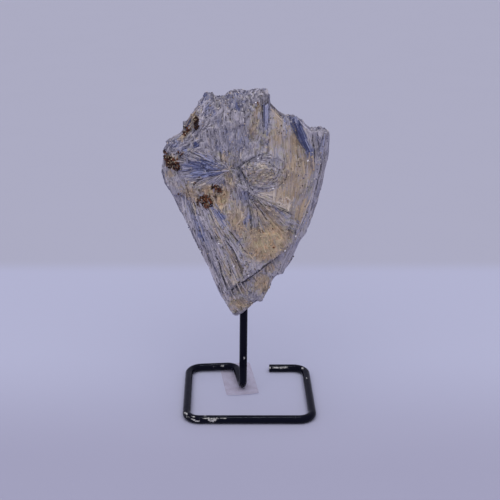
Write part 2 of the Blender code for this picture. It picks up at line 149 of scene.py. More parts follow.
# The side face along the front's right edge follows this line, and its lower part is lightened with painted
# light
SIDE_FACE = [(48.5, 166), (45.6, 155), (43.8, 139), (40.0, 123), (34.8, 111), (32.0, 102), (25.6, 86)]
SIDE_FACE_WIDTH = 4.2
SIDE_FACE_PAINTED_LIGHT_BELOW, SIDE_FACE_PAINTED_LIGHT = 132.0, 1.15

# Coloured marks: centre X and Z, half-length along and across, turn in degrees and strength
FRONT_BLUE = [
    (-25.0, 147.4, 13.0, 4.4, 0, 0.82),
    (-22.0, 142.6, 10.5, 2.3, 4, 1.15),
    (-21.6, 151.3, 7.0, 2.0, -28, 0.7),
    (-27.0, 159.3, 2.0, 1.7, 0, 1.0),
    (-22.8, 184.6, 4.8, 2.6, 62, 0.66),
    (-20.0, 178.0, 4.5, 3.5, 60, 0.45),
    (-4.8, 180.0, 3.5, 2.6, 95, 0.42),
    (-15.0, 171.5, 4.0, 2.6, 95, 0.42),
    (-12.0, 163.0, 10.0, 6.0, 95, 0.3),
    (-2.5, 160.0, 10.0, 6.0, 90, 0.3),
    (-3.0, 187.0, 11.0, 2.6, 0, 0.4),
    (-9.0, 184.0, 12.0, 5.0, 0, 0.4),
    (11.8, 172.0, 9.0, 2.2, 91, 0.55),
    (32.2, 162.0, 14.4, 3.0, -64, 1.15),
    (22.7, 168.6, 5.0, 2.6, -75, 0.42),
    (-15.3, 117.4, 4.6, 3.0, -35, 1.05),
    (-5.5, 106.0, 9.0, 2.0, -58, 0.36),
    (42.0, 160.0, 9.0, 4.0, -84, 0.34),
    (-26.0, 107.5, 9.0, 2.6, -69, 0.75),
    (-30.0, 116.5, 13.0, 3.6, -66, 0.42),
    (-37.0, 128.0, 9.0, 4.0, -66, 0.4),
    (0.4, 130.6, 3.4, 3.0, 0, 0.62),
    (-1.2, 139.5, 6.5, 1.6, -52, 0.45),
    (-7.0, 130.0, 4.0, 2.4, -60, 0.4),
    (20.0, 119.4, 8.5, 2.4, -24, 0.36),
    (8.0, 121.0, 8.0, 2.0, -46, 0.28),
    (1.0, 115.5, 5.5, 1.8, 52, 0.5),
    (38.2, 123.0, 16.0, 2.0, -106, 0.42),
    (31.0, 104.0, 9.0, 2.0, -112, 0.4),
    (44.6, 152.0, 13.0, 1.6, -97, 0.3),
    (-38.0, 157.0, 8.0, 6.0, 0, 0.34),
    (-12.0, 104.0, 14.0, 2.6, -62, 0.3),
]
FRONT_OCHRE = [
    (-20.6, 132.4, 5.6, 3.8, 0, 1.0),
    (-13.0, 127.8, 7.4, 3.6, 82, 1.1),
    (-18.5, 125.5, 6.5, 5.0, 0, 0.8),
    (-30.0, 129.0, 8.5, 6.0, -60, 0.6),
    (12.8, 101.5, 14.0, 10.5, 35, 1.0),
    (20.8, 99.0, 2.8, 2.4, 0, 1.0),
    (9.4, 95.4, 4.0, 2.8, 0, 0.95),
    (17.4, 111.0, 4.6, 3.2, -30, 0.85),
    (4.0, 107.0, 6.0, 7.0, 0, 0.6),
    (23.5, 129.0, 7.5, 5.5, 0, 0.85),
    (27.5, 157.0, 10.5, 5.4, 85, 0.6),
    (28.0, 140.0, 20.0, 10.0, 88, 0.58),
    (36.5, 146.0, 9.0, 3.4, 80, 0.6),
    (16.5, 163.0, 9.0, 7.0, 0, 0.46),
    (9.0, 73.6, 7.5, 6.4, 60, 0.72),
    (17.5, 172.0, 8.0, 3.2, 90, 0.6),
    (31.2, 120.5, 7.0, 3.6, 80, 0.62),
    (4.8, 168.0, 10.0, 3.2, 88, 0.5),
    (7.0, 177.5, 5.0, 3.6, 60, 0.5),
    (-42.4, 141.2, 3.4, 2.4, 0, 0.5),
    (-41.5, 148.6, 5.0, 4.6, 0, 0.6),
    (-34.6, 165.6, 3.4, 2.4, 0, 0.7),
    (-34.0, 164.0, 5.0, 2.0, 30, 0.6),
    (-29.5, 174.0, 6.0, 3.2, 60, 0.62),
    (-18.0, 186.5, 4.0, 1.4, -8, 0.55),
    (-4.0, 114.0, 12.0, 7.0, -80, 0.68),
    (-8.5, 136.0, 13.0, 4.5, -82, 0.5),
    (13.0, 118.0, 13.0, 8.5, -40, 0.56),
    (-1.5, 70.0, 5.0, 3.4, 0, 0.5),
    (-3.5, 61.5, 8.0, 5.6, 0, 0.5),
    (-11.0, 82.0, 10.0, 4.5, -60, 0.36),
    (15.0, 84.0, 6.0, 4.0, 40, 0.4),
    (-7.0, 90.0, 14.0, 4.0, -64, 0.46),
    (-16.0, 108.0, 10.0, 3.0, -66, 0.42),
    (-12.0, 151.5, 6.0, 5.0, 0, 0.4),
    (9.0, 143.0, 12.0, 8.0, 0, 0.36),
]
FRONT_PALE = [
    # A thin pale line just under the ledge: a painted highlight on the ledge's lower edge
    (8.4, 81.2, 12.0, 0.7, 38, 0.75),
    (13.2, 131.2, 7.5, 2.8, 18, 0.95),
    (-23.4, 126.4, 5.0, 4.4, 0, 0.55),
    (19.7, 128.0, 4.0, 2.0, 0, 0.6),
    (24.0, 125.4, 6.4, 3.2, 0, 1.2),
    (-23.5, 136.4, 11.5, 1.3, -4, 0.7),
    (-3.1, 120.0, 7.0, 4.5, 90, 0.35),
    (-5.3, 153.0, 6.0, 4.5, 90, 0.3),
    (-40.0, 135.0, 5.0, 4.0, -60, 0.45),
    (10.6, 144.0, 13.0, 8.0, 0, 0.5),
    (-26.0, 154.5, 9.0, 2.2, -14, 0.25),
    (-13.0, 91.0, 10.0, 2.4, -68, 0.35),
    (-8.5, 78.0, 11.0, 6.0, -64, 0.44),
    (-13.0, 181.0, 6.0, 2.6, 0, 0.3),
    (2.5, 172.0, 8.0, 2.2, 90, 0.3),
    (-18.5, 140.0, 6.0, 1.1, 10, 0.5),
    (37.6, 121.0, 13.0, 3.4, -108, 0.5),
    (-9.0, 77.0, 10.0, 4.0, -64, 0.4),
]
BACK_BLUE = [
    (-16.0, 160.0, 16.0, 3.6, 125, 0.75),
    (-14.0, 158.0, 20.0, 9.0, 125, 0.34),
    (4.0, 158.0, 13.0, 2.4, 80, 0.65),
    (26.0, 150.0, 13.0, 3.0, 78, 0.6),
    (24.0, 154.0, 16.0, 8.0, 78, 0.3),
    (14.0, 120.0, 20.0, 3.0, -86, 0.65),
    (17.0, 116.0, 24.0, 8.0, -86, 0.32),
    (27.0, 118.0, 12.0, 2.2, -100, 0.5),
    (-20.0, 118.0, 20.0, 3.2, -62, 0.6),
    (-22.0, 120.0, 24.0, 9.0, -62, 0.3),
    (-10.0, 92.0, 13.0, 2.6, -68, 0.5),
    (-34.0, 150.0, 9.0, 3.0, 160, 0.4),
]
BACK_OCHRE = [
    (-31.0, 132.0, 15.0, 7.0, -64, 0.46),
    (35.0, 140.0, 18.0, 6.0, 84, 0.44),
    (4.0, 138.0, 9.0, 7.5, 0, 0.5),
    (2.0, 82.0, 17.0, 7.0, 72, 0.48),
    (-4.0, 176.0, 16.0, 6.0, 0, 0.34),
    (0.0, 116.0, 16.0, 5.0, -84, 0.32),
    (-26.0, 162.0, 8.0, 4.0, 40, 0.36),
]
BACK_PALE = [
    (10.0, 140.0, 9.0, 4.0, 30, 0.7),
    (-4.0, 112.0, 12.0, 3.0, -70, 0.5),
    (22.0, 168.0, 8.0, 4.0, 70, 0.4),
]

# Partings between fibres on the front, darkened with painted shade: points in X and Z, half-width and depth
MARK_WANDER = 1.1
PARTING_WANDER = 0.3
PARTINGS = [
    ([(-8.6, 69.6), (-7.2, 71.4), (-5.4, 72.0)], 0.8, 0.9),
    ([(-7.0, 73.2), (-5.0, 74.9), (-2.4, 75.2)], 0.5, 0.6),
    ([(-3.4, 73.8), (-0.4, 75.6), (2.6, 77.2)], 0.45, 0.5),
    ([(-10.5, 101.8), (-5.8, 94.2), (-4.3, 88.3), (-2.8, 83.1), (-0.8, 79.0)], 0.36, 0.5),
    ([(-11.9, 107.5), (-11.0, 102.4), (-7.9, 98.9), (-5.8, 97.8)], 0.3, 0.4),
    ([(-9.4, 108.1), (-6.9, 105.2), (-3.7, 101.8), (-1.2, 96.6), (1.4, 94.2)], 0.34, 0.45),
    ([(-15.4, 87.8), (-14.4, 81.8), (-12.3, 76.1), (-10.3, 69.3)], 0.4, 0.55),
    ([(-17.6, 96.7), (-16.5, 91.8), (-15.4, 87.8)], 0.26, 0.4),
    ([(-16.6, 108.6), (-16.9, 102.9)], 0.34, 0.45),
    ([(-20.5, 107.7), (-18.3, 101.8)], 0.3, 0.4),
    ([(-17.6, 78.5), (-13.5, 70.6)], 0.26, 0.35),
    ([(-13.7, 98.9), (-12.1, 96.0)], 0.34, 0.4),
    ([(0.9, 89.7), (1.9, 87.4)], 0.4, 0.4),
    ([(-11.3, 94.2), (-9.7, 87.2), (-8.5, 79.8)], 0.22, 0.3),
    ([(-24.0, 100.6), (-19.7, 84.8)], 0.3, 0.45),
    ([(-34.6, 139.3), (-29.3, 117.8), (-24.0, 102.0)], 0.24, 0.35),
    ([(-30.1, 106.8), (-24.9, 90.7), (-20.9, 79.7)], 0.22, 0.3),
    ([(2.1, 131.1), (9.1, 125.1), (25.9, 118.7)], 0.34, 0.45),
    ([(1.9, 129.9), (6.8, 123.2), (17.4, 109.6)], 0.34, 0.5),
    ([(1.7, 129.2), (6.2, 121.9), (8.5, 107.6)], 0.28, 0.4),
    ([(1.3, 128.5), (2.9, 117.8), (3.5, 106.8)], 0.24, 0.35),
    ([(-4.0, 146.5), (-0.1, 139.8), (4.4, 132.5)], 0.36, 0.45),
    ([(-2.3, 147.6), (3.2, 151.2), (8.1, 153.8), (13.0, 154.4)], 0.3, 0.4),
    ([(23.3, 145.0), (22.9, 139.3), (18.5, 135.2)], 0.24, 0.3),
    ([(-13.9, 155.9), (-13.5, 149.5)], 0.5, 0.5),
    ([(9.5, 184.1), (9.7, 169.3)], 0.3, 0.35),
    ([(12.6, 185.0), (12.6, 171.2)], 0.3, 0.4),
    ([(24.2, 173.8), (29.1, 161.7), (35.6, 152.7)], 0.34, 0.4),
    ([(40.3, 165.3), (42.8, 147.0), (38.8, 124.1)], 0.26, 0.35),
    ([(37.7, 164.3), (39.2, 151.1)], 0.26, 0.35),
]
# The ledge is a parting too: a raised lip with painted shade in its line and a painted shadow under it
LEDGE = (
    [(-6.0, 72.4), (-3.1, 75.2), (0.2, 77.8), (4.5, 81.2), (9.0, 84.1), (13.6, 88.0), (18.8, 91.8)], 0.42, 1.1)
LEDGE_RISE = 0.5
# Knobs and dents of the outline: centre X and Z, radius and height
RIM_KNOBS = [
    (-21.0, 187.4, 3.0, 1.6),
    (-28.0, 179.0, 2.0, -0.9),
    (-34.4, 169.0, 2.2, 1.8),
    (-38.8, 164.4, 1.4, -0.8),
    (-44.0, 160.6, 2.0, 1.5),
    (-43.8, 157.4, 1.3, -1.5),
    (-45.4, 154.6, 1.6, 0.5),
    (-46.3, 147.4, 3.0, -1.8),
    (-44.6, 139.0, 2.6, -1.4),
    (-38.0, 125.5, 2.6, -0.8),
    (-20.6, 87.4, 8.0, -2.4),
    (15.2, 182.0, 2.4, -1.3),
    (20.4, 177.0, 1.6, 0.6),
    (38.4, 172.2, 1.6, 0.9),
    (46.6, 170.8, 1.6, 0.8),
    (43.0, 171.4, 1.2, -0.6),
]

# Garnets: centre X and Z of a nest, its half-lengths, number of crystals and share of dark ones
GARNET_NESTS = [
    (-41.2, 148.2, 4.2, 3.2, 114, 0.7),
    (-38.8, 146.4, 2.2, 2.2, 42, 0.85),
    (-45.2, 151.4, 1.6, 3.0, 42, 0.6),
    (-27.4, 170.6, 1.9, 3.5, 72, 0.95),
    (-34.6, 165.8, 2.8, 2.2, 60, 0.75),
    (-31.4, 167.4, 1.6, 1.2, 12, 0.4),
    (-25.0, 125.6, 2.8, 3.2, 45, 0.5),
    (-21.2, 124.8, 2.4, 3.0, 42, 0.5),
    (-23.2, 128.0, 3.2, 2.0, 27, 0.35),
    (-17.6, 134.6, 2.8, 1.6, 30, 0.7),
    (-14.8, 132.6, 1.2, 1.8, 18, 0.5),
    (-17.2, 129.2, 0.9, 0.9, 6, 1.0),
    (-31.2, 118.9, 0.7, 0.7, 3, 0.6),
    (-38.4, 130.2, 0.6, 0.6, 3, 0.6),
    (15.9, 109.9, 0.4, 0.4, 3, 0.2),
    (16.6, 98.4, 0.5, 0.4, 3, 0.0),
    (6.2, 181.8, 1.1, 0.9, 6, 0.0),
    (-28.6, 137.0, 0.8, 0.8, 3, 0.4),
    (-37.0, 153.6, 2.6, 1.2, 12, 0.5),
]

# Bright cleavage flakes, coloured near white as painted glints: X and Z
SPARKLES = [
    (7.1, 151.3), (35.2, 149.5), (-15.4, 100.7), (-6.8, 86.5), (23.0, 95.8), (15.7, 133.8),
    (-22.2, 144.3), (-43.9, 135.0), (29.2, 103.8), (5.8, 182.0), (1.8, 80.8),
]

# Large single laths on the front: from, to, width, rise, blue and tone
FRONT_LATHS = [
    ((24.6, 176.8), (34.6, 155.4), 1.1, 2.0, 1.0, 0.0),
    ((25.8, 176.8), (36.6, 152.6), 1.1, 2.3, 1.0, 0.3),
    ((26.8, 176.6), (38.2, 150.0), 1.1, 2.4, 1.0, 0.0),
    ((27.8, 176.0), (39.0, 148.8), 1.1, 2.5, 0.9, 0.6),
    ((29.2, 173.0), (39.6, 149.6), 0.9, 2.2, 1.0, 0.0),
    ((30.0, 171.0), (38.8, 154.0), 0.8, 1.8, 0.8, 0.7),
    ((24.8, 176.6), (28.0, 169.6), 1.7, 2.8, 1.0, 0.0),
    ((27.6, 172.6), (31.0, 164.8), 0.8, 3.0, 0.6, 1.0),
    ((33.2, 162.0), (36.4, 155.2), 0.6, 3.0, 0.7, 0.9),
    ((24.4, 174.4), (29.4, 164.0), 1.2, 1.6, 1.0, 0.1),
    ((25.0, 171.0), (32.6, 156.6), 0.9, 1.4, 1.0, 0.3),
    ((23.6, 172.6), (22.0, 164.6), 1.4, 1.1, 0.4, 0.35),
    ((22.0, 171.2), (20.8, 165.0), 1.0, 1.0, 0.3, 0.6),
    ((11.5, 188.2), (11.8, 180.0), 2.3, 1.3, 0.1, 0.6),
    ((11.8, 181.0), (12.1, 163.0), 2.2, 1.3, 0.62, 0.9),
    ((10.2, 188.0), (10.4, 180.0), 0.6, 1.3, 0.2, 0.3),
    ((10.3, 181.5), (10.5, 170.5), 0.7, 1.4, 0.8, 0.3),
    ((13.2, 186.5), (13.5, 172.0), 0.6, 1.2, 0.5, 0.35),
    ((12.2, 166.5), (12.4, 158.5), 1.4, 1.0, 0.6, 0.5),
    ((-5.0, 182.4), (-4.4, 177.0), 1.8, 0.9, 0.8, 0.3),
    ((-28.2, 160.6), (-25.8, 158.0), 2.6, 0.7, 1.0, 0.1),
]

# Bent bar: corners where the straight runs would meet, and the bend radius there
STAND_ROUTE = [
    (15.0, 27.6, 2.4, 0.0),
    (38.4, 27.6, 2.4, 8.0),
    (39.5, -38.4, 2.4, 8.0),
    (-34.6, -38.4, 2.4, 8.0),
    (-36.8, 28.2, 2.4, 8.0),
    (-6.8, 29.1, 3.2, 6.5),
    (-1.8, POST_Y, 3.0, 4.5),
    (-1.1, POST_Y, 64.0, 0.0),
]
# Places where the paint is chipped or rubbed, and one thin painted highlight along the top of the front rail:
# from and to in X, Y and Z, and radius
PAINT_CHIPS_AND_GLINTS = [
    ((-38.9, -24.6, 3.2), (-38.7, -30.0, 3.4), 0.75),
    ((-37.8, -29.4, 4.2), (-37.2, -32.0, 4.2), 0.7),
    ((-36.0, -33.6, 4.2), (-34.4, -35.8, 4.5), 0.75),
    ((-36.6, -35.2, 3.6), (-35.0, -37.4, 3.8), 0.65),
    ((-35.4, -36.8, 3.8), (-33.2, -38.9, 4.1), 0.8),
    ((-33.2, -39.4, 3.7), (-29.8, -40.6, 3.1), 0.75),
    ((-31.2, -38.8, 4.7), (-29.9, -39.2, 4.6), 0.6),
    ((-29.0, -40.8, 2.5), (-27.0, -40.8, 2.6), 0.5),
    ((-21.6, -40.2, 3.9), (-20.4, -40.8, 2.7), 0.8),
    ((-20.4, -40.8, 2.7), (-18.4, -40.8, 2.6), 0.9),
    ((-19.4, -40.4, 3.6), (-18.2, -40.6, 3.2), 0.8),
    ((-18.0, -40.7, 2.9), (-16.4, -40.1, 4.0), 0.85),
    # A thin painted highlight along the top of the front rail
    ((-24.8, -40.1, 4.0), (-11.4, -40.1, 4.0), 0.14),
    ((-23.8, -38.3, 4.8), (-23.2, -38.3, 4.8), 0.8),
    ((15.2, 25.6, 3.9), (15.4, 25.5, 3.6), 0.9),
    ((17.6, 25.5, 3.8), (21.6, 25.5, 3.9), 0.75),
    ((22.6, 25.4, 3.7), (24.6, 25.5, 4.0), 1.0),
    ((25.4, 25.5, 3.9), (26.6, 25.5, 3.9), 0.95),
    ((36.4, 23.4, 4.5), (37.0, 22.6, 4.5), 0.7),
    ((38.4, 9.6, 4.5), (38.5, 8.8, 4.5), 0.5),
    ((-15.8, 26.6, 4.6), (-15.0, 26.6, 4.6), 0.95),
    ((-21.0, 26.2, 4.0), (-20.4, 26.2, 4.1), 0.6),
    ((-0.9, -1.0, 23.2), (-0.9, -1.0, 24.2), 0.5),
]

CAMERA_PLACE = (0.0026, -0.5173, 0.2773)
CAMERA_PITCH_DEGREES = -19.537
CAMERA_LENS = 66.96
SENSOR_WIDTH = 36.0


class StoneSettings(bpy.types.PropertyGroup):
    """Sizes and colours of the stone."""

    net_size: FloatProperty(
        name="Net size", description="Edge length of the stone's surface net", unit="LENGTH",
        default=0.00056, min=0.0004, max=0.002, precision=5)
    relief: FloatProperty(
        name="Relief", description="How far the planks of the surface stand apart", unit="LENGTH",
        default=0.00085, min=0.0, max=0.002, precision=5)
    front_blades: IntProperty(
        name="Front blades", description="Number of small blades tried on the front",
        default=6000, min=0, max=7500)
    other_blades: IntProperty(
        name="Other blades", description="Number of small blades tried on the back and the sides",
        default=5800, min=0, max=6300)
    grain_count: IntProperty(
        name="Grains", description="Number of crumbs tried between the blades",
        default=9000, min=0, max=16000)
    grey: FloatVectorProperty(
        name="Grey", description="Light fibres", subtype="COLOR", size=4, min=0, max=1,
        default=(0.57, 0.53, 0.59, 1))
    shade: FloatVectorProperty(
        name="Shade", description="Dark fibres", subtype="COLOR", size=4, min=0, max=1,
        default=(0.16, 0.15, 0.185, 1))
    blue: FloatVectorProperty(
        name="Blue", description="Blue blades", subtype="COLOR", size=4, min=0, max=1,
        default=(0.34, 0.365, 0.57, 1))
    navy: FloatVectorProperty(
        name="Navy", description="Deepest blue in the blades", subtype="COLOR", size=4, min=0, max=1,
        default=(0.055, 0.064, 0.155, 1))
    ochre: FloatVectorProperty(
        name="Ochre", description="Iron-stained patches", subtype="COLOR", size=4, min=0, max=1,
        default=(0.84, 0.54, 0.30, 1))
    tan: FloatVectorProperty(
        name="Tan", description="Lightly stained fibres", subtype="COLOR", size=4, min=0, max=1,
        default=(0.67, 0.51, 0.36, 1))
    # Also the colour of the painted highlight line under the ledge
    pale: FloatVectorProperty(
        name="Pale", description="Milky spots", subtype="COLOR", size=4, min=0, max=1,
        default=(0.83, 0.71, 0.58, 1))
    # Near-white colour of the flakes: painted glints
    flake_glint: FloatVectorProperty(
        name="Flake", description="Bright flakes", subtype="COLOR", size=4, min=0, max=1,
        default=(0.97, 0.95, 0.97, 1))
    garnet: FloatVectorProperty(
        name="Garnet", description="Dark garnets", subtype="COLOR", size=4, min=0, max=1,
        default=(0.028, 0.010, 0.006, 1))
    garnet_red: FloatVectorProperty(
        name="Garnet red", description="Brighter garnets", subtype="COLOR", size=4, min=0, max=1,
        default=(0.20, 0.07, 0.035, 1))


class StandSettings(bpy.types.PropertyGroup):
    """Sizes and colours of the stand and its label."""

    bar_diameter: FloatProperty(
        name="Bar diameter", description="Diameter of the painted bar", unit="LENGTH",
        default=0.0048, min=0.001, max=0.01, precision=4)
    paint: FloatVectorProperty(
        name="Paint", description="Black paint", subtype="COLOR", size=4, min=0, max=1,
        default=(0.003, 0.003, 0.008, 1))
    # Also the colour of the painted highlight line on the front rail
    bare_steel_and_glint: FloatVectorProperty(
        name="Bare steel", description="Steel where the paint has gone", subtype="COLOR", size=4, min=0,
        max=1, default=(0.84, 0.82, 0.78, 1))
    label_width: FloatProperty(
        name="Label width", description="Width of the label", unit="LENGTH", default=0.0204, min=0.001,
        precision=4)
    label_length: FloatProperty(
        name="Label length", description="Length of the label", unit="LENGTH", default=0.0449, min=0.001,
        precision=4)
    film: FloatVectorProperty(
        name="Film", description="The label's film", subtype="COLOR", size=4, min=0, max=1,
        default=(0.60, 0.47, 0.54, 1))
    film_cover: FloatProperty(
        name="Film cover", description="How much the film hides what is under it", default=0.13, min=0,
        max=1, subtype="FACTOR")


class StageSettings(bpy.types.PropertyGroup):
    """The floor and the light."""

    floor: FloatVectorProperty(
        name="Floor", description="Colour of the floor", subtype="COLOR", size=4, min=0, max=1,
        default=(0.475, 0.485, 0.625, 1))
    # The floor's colour in front of the object, darker as painted shade
    floor_front_shade: FloatVectorProperty(
        name="Near floor", description="Colour of the floor in front of the object", subtype="COLOR",
        size=4, min=0, max=1, default=(0.38, 0.375, 0.495, 1))
    floor_far: FloatVectorProperty(
        name="Far floor", description="Colour of the floor far from the object", subtype="COLOR",
        size=4, min=0, max=1, default=(0.435, 0.435, 0.53, 1))
    sky_strength: FloatProperty(
        name="Sky strength", description="Strength of the light from all sides", default=0.42, min=0)
    sun_strength: FloatProperty(
        name="Sun strength", description="Strength of the large soft lamp", default=1.85, min=0)


def in_mm(length):
    """A setting's length in millimetres."""
    return round(length / MM, 4)


def dimmed(colour, share):
    """A colour times a share, still opaque."""
    return tuple(share * part for part in colour[:3]) + (1,)


def hashed(seed, *keys):
    """A repeatable number from 0 to 1 for each combination of whole-number keys."""
    keys = np.broadcast_arrays(*[np.atleast_1d(key) for key in keys])
    mix = np.full(keys[0].shape, seed, np.uint64)
    for key in keys:
        mix = (mix ^ key.astype(np.int64).astype(np.uint64)) * np.uint64(0x9E3779B97F4A7C15)
        mix = mix ^ (mix >> np.uint64(29))
    return (mix >> np.uint64(40)).astype(float) / 2 ** 24


def ramp(low, high, value):
    """0 at low, 1 at high and a smooth rise between them."""
    t = np.clip((value - low) / (high - low), 0.0, 1.0)
    return t * t * (3.0 - 2.0 * t)


def soft_noise(points, size, seed):
    """Soft values from -1 to 1 that change over about the given size."""
    cell = points / size
    base = np.floor(cell)
    t = cell - base
    t = t * t * (3 - 2 * t)
    total = np.zeros(len(points))
    for corner in itertools.product((0, 1), repeat=points.shape[1]):
        weight = np.prod(np.where(corner, t, 1 - t), axis=1)
        total += weight * hashed(seed, *(base + corner).T)
    return 2 * total - 1


def spots(x, z, marks, soft=1.0):
    """How strongly a point lies in the oval marks, from 0 to 1. A soft edge is wider."""
    total = np.zeros(len(x))
    for centre_x, centre_z, half_along, half_across, turn, strength in marks:
        c, s = math.cos(math.radians(turn)), math.sin(math.radians(turn))
        along = (x - centre_x) * c + (z - centre_z) * s
        across = (z - centre_z) * c - (x - centre_x) * s
        reach = np.hypot(along / half_along, across / half_across)
        total = np.maximum(total, strength * (1 - ramp(0.8 - 0.4 * soft, 0.9 + 0.4 * soft, reach)))
    return total


def line_place(x, z, line):
    """Distance to a line of points, the same with a sign for its side, the way along it and its heading."""
    nearest = np.full(len(x), 1e9)
    side = np.zeros(len(x))
    along = np.zeros(len(x))
    heading = np.zeros((len(x), 2))
    run = 0.0
    for start, end in zip(line, line[1:]):
        a, b = np.array(start, float), np.array(end, float)
        length = float(np.hypot(*(b - a)))
        way = (b - a) / length
        share = np.clip((x - a[0]) * way[0] + (z - a[1]) * way[1], 0, length)
        dx, dz = x - a[0] - way[0] * share, z - a[1] - way[1] * share
        distance = np.hypot(dx, dz)
        closer = distance < nearest
        nearest = np.where(closer, distance, nearest)
        side = np.where(closer, way[0] * dz - way[1] * dx, side)
        along = np.where(closer, run + share, along)
        heading[closer] = way
        run += length
    return nearest, side, along, heading


class Grain:
    """The fibres at a set of points: zone, place across and along them, and their direction."""

    def __init__(self, points, normals):
        x, _, z = points.T
        count = len(points)
        self.zone = np.zeros(count, int)
        self.across = np.zeros(count)
        self.along = np.zeros(count)
        self.way = np.zeros((count, 3))
        self.plank_width = np.full(count, 2.4)
        self.plank_length = np.full(count, 10.0)
        self.disorder = np.zeros(count)
        self.contrast = np.ones(count)
        self.lightness = np.zeros(count)
        wobble = 0.24 * soft_noise(points[:, [0, 2]], 3.0, 11) + 0.22 * soft_noise(points[:, [0, 2]], 8.0, 12)
        nearest = np.full(count, 1e9)
        facing_back = normals[:, 1] > 0
        zones = FRONT_ZONES + BACK_ZONES
        for number, zone in enumerate(zones):
            _, kind, centre, half, apex, *texture = zone
            reach = np.hypot((x - centre[0]) / half[0], (z - centre[1]) / half[1]) + wobble
            reach = np.where(facing_back == (number >= len(FRONT_ZONES)), reach, 1e8)
            here = reach < nearest
            nearest = np.where(here, reach, nearest)
            self.take(here, number, self.laid_from(kind, centre, half, apex, x, z), *texture)
        self.take_side_face(x, z, ~facing_back)
        self.take_flanks(points, normals)

    def take(self, here, number, laid, width, length, disorder, contrast, lightness=0.0):
        """Give the chosen points this zone's fibres."""
        across, along, heading = laid
        self.zone[here] = number
        self.across[here] = across[here]
        self.along[here] = along[here]
        self.way[here, 0] = heading[here, 0]
        self.way[here, 1] = 0
        self.way[here, 2] = heading[here, 1]
        self.plank_width[here] = width
        self.plank_length[here] = length
        self.disorder[here] = disorder
        self.contrast[here] = contrast
        self.lightness[here] = lightness

    @staticmethod
    def laid_from(kind, centre, half, apex, x, z):
        """Place across and along the fibres of a fan or a ring, and their heading."""
        flatness = half[0] / half[1] if kind == "ring" else 1.0
        dx, dz = x - apex[0], (z - apex[1]) * flatness
        radius = np.hypot(dx, dz) + 1e-6
        if kind == "ring":
            turn = np.arctan2(dz, dx)
            heading = np.stack([-dz, dx / flatness], axis=1)
            heading /= np.linalg.norm(heading, axis=1)[:, None] + 1e-9
            return radius, turn * half[0] * 0.7, heading
        middle = math.atan2(centre[1] - apex[1], centre[0] - apex[0])
        reference = math.hypot(centre[1] - apex[1], centre[0] - apex[0])
        turn = np.arctan2(dz, dx) - middle
        turn = (turn + math.pi) % (2 * math.pi) - math.pi
        return turn * reference, radius, np.stack([dx, dz], axis=1) / radius[:, None]

    def take_side_face(self, x, z, front):
        """The side face on the front's right has fibres along its own line."""
        distance, side, along, heading = line_place(x, z, SIDE_FACE)
        here = front & (distance < SIDE_FACE_WIDTH)
        self.take(here, SIDE_FACE_ZONE, (side, along, heading), 1.9, 22, 4, 0.9, 0.18)

    def take_flanks(self, points, normals):
        """Walls between front and back: fibres run round the left and right sides, and end at the top."""
        wall = np.abs(normals[:, 1]) < 0.5
        tangent = np.stack([-normals[:, 2], normals[:, 0]], axis=1)
        tangent /= np.linalg.norm(tangent, axis=1)[:, None] + 1e-9
        tangent *= np.where(tangent[:, 1] > 0, -1.0, 1.0)[:, None]
        steep = np.abs(tangent[:, 1]) > 0.55
        laid = (points[:, 1], points[:, 2] + points[:, 0] * 0.2, tangent)
        self.take(wall & steep, FLANK_ZONE, laid, 2.0, 16, 7, 0.85)
        ends = (points[:, 0], points[:, 1] + points[:, 2] * 0.3, np.tile([0.0, -1.0], (len(points), 1)))
        self.take(wall & ~steep, END_ZONE, ends, 1.8, 3.0, 45, 0.9)

    def planks(self, scale, seed):
        """The plank that each point lies in, as its number, share across and along, and gap beside it."""
        width = self.plank_width * scale
        place = self.across / width + 0.25 * np.sin(self.along / (7.0 * scale) + self.zone)
        column = np.floor(place)
        low = column + 0.4 * hashed(seed, column, self.zone)
        column = np.where(place < low, column - 1, column)
        low = column + 0.4 * hashed(seed, column, self.zone)
        high = column + 1 + 0.4 * hashed(seed, column + 1, self.zone)
        share_across = (place - low) / (high - low)
        length = self.plank_length * scale * (0.6 + 0.8 * hashed(seed + 1, column, self.zone))
        start = self.along / length + 5 * hashed(seed + 2, column, self.zone)
        row = np.floor(start)
        edge = np.minimum(share_across, 1 - share_across)
        open_side = hashed(seed + 6, column, row, self.zone) > 0.4
        gap = (1 - ramp(0.0, 0.2, edge)) * open_side
        return (column, row), share_across, start - row, gap

    def levels(self, scale, seed):
        """Height of the planks at each point, from about -1 to 1, and each plank's own tone from 0 to 1."""
        (column, row), share_across, share_along, gap = self.planks(scale, seed)
        key = (column, row, self.zone)
        level = hashed(seed + 3, *key) - 0.5
        tilt = (hashed(seed + 4, *key) - 0.5) * (share_across - 0.5) * 2
        slope = (hashed(seed + 5, *key) - 0.5) * (share_along - 0.5)
        return level + 0.7 * tilt + 0.6 * slope - 0.55 * gap, hashed(seed + 7, *key), gap


def mark_wander(flat):
    """How far the marks wander from their places in X and Z."""
    return [MARK_WANDER * soft_noise(flat, 4.0, seed) for seed in (21, 22)]


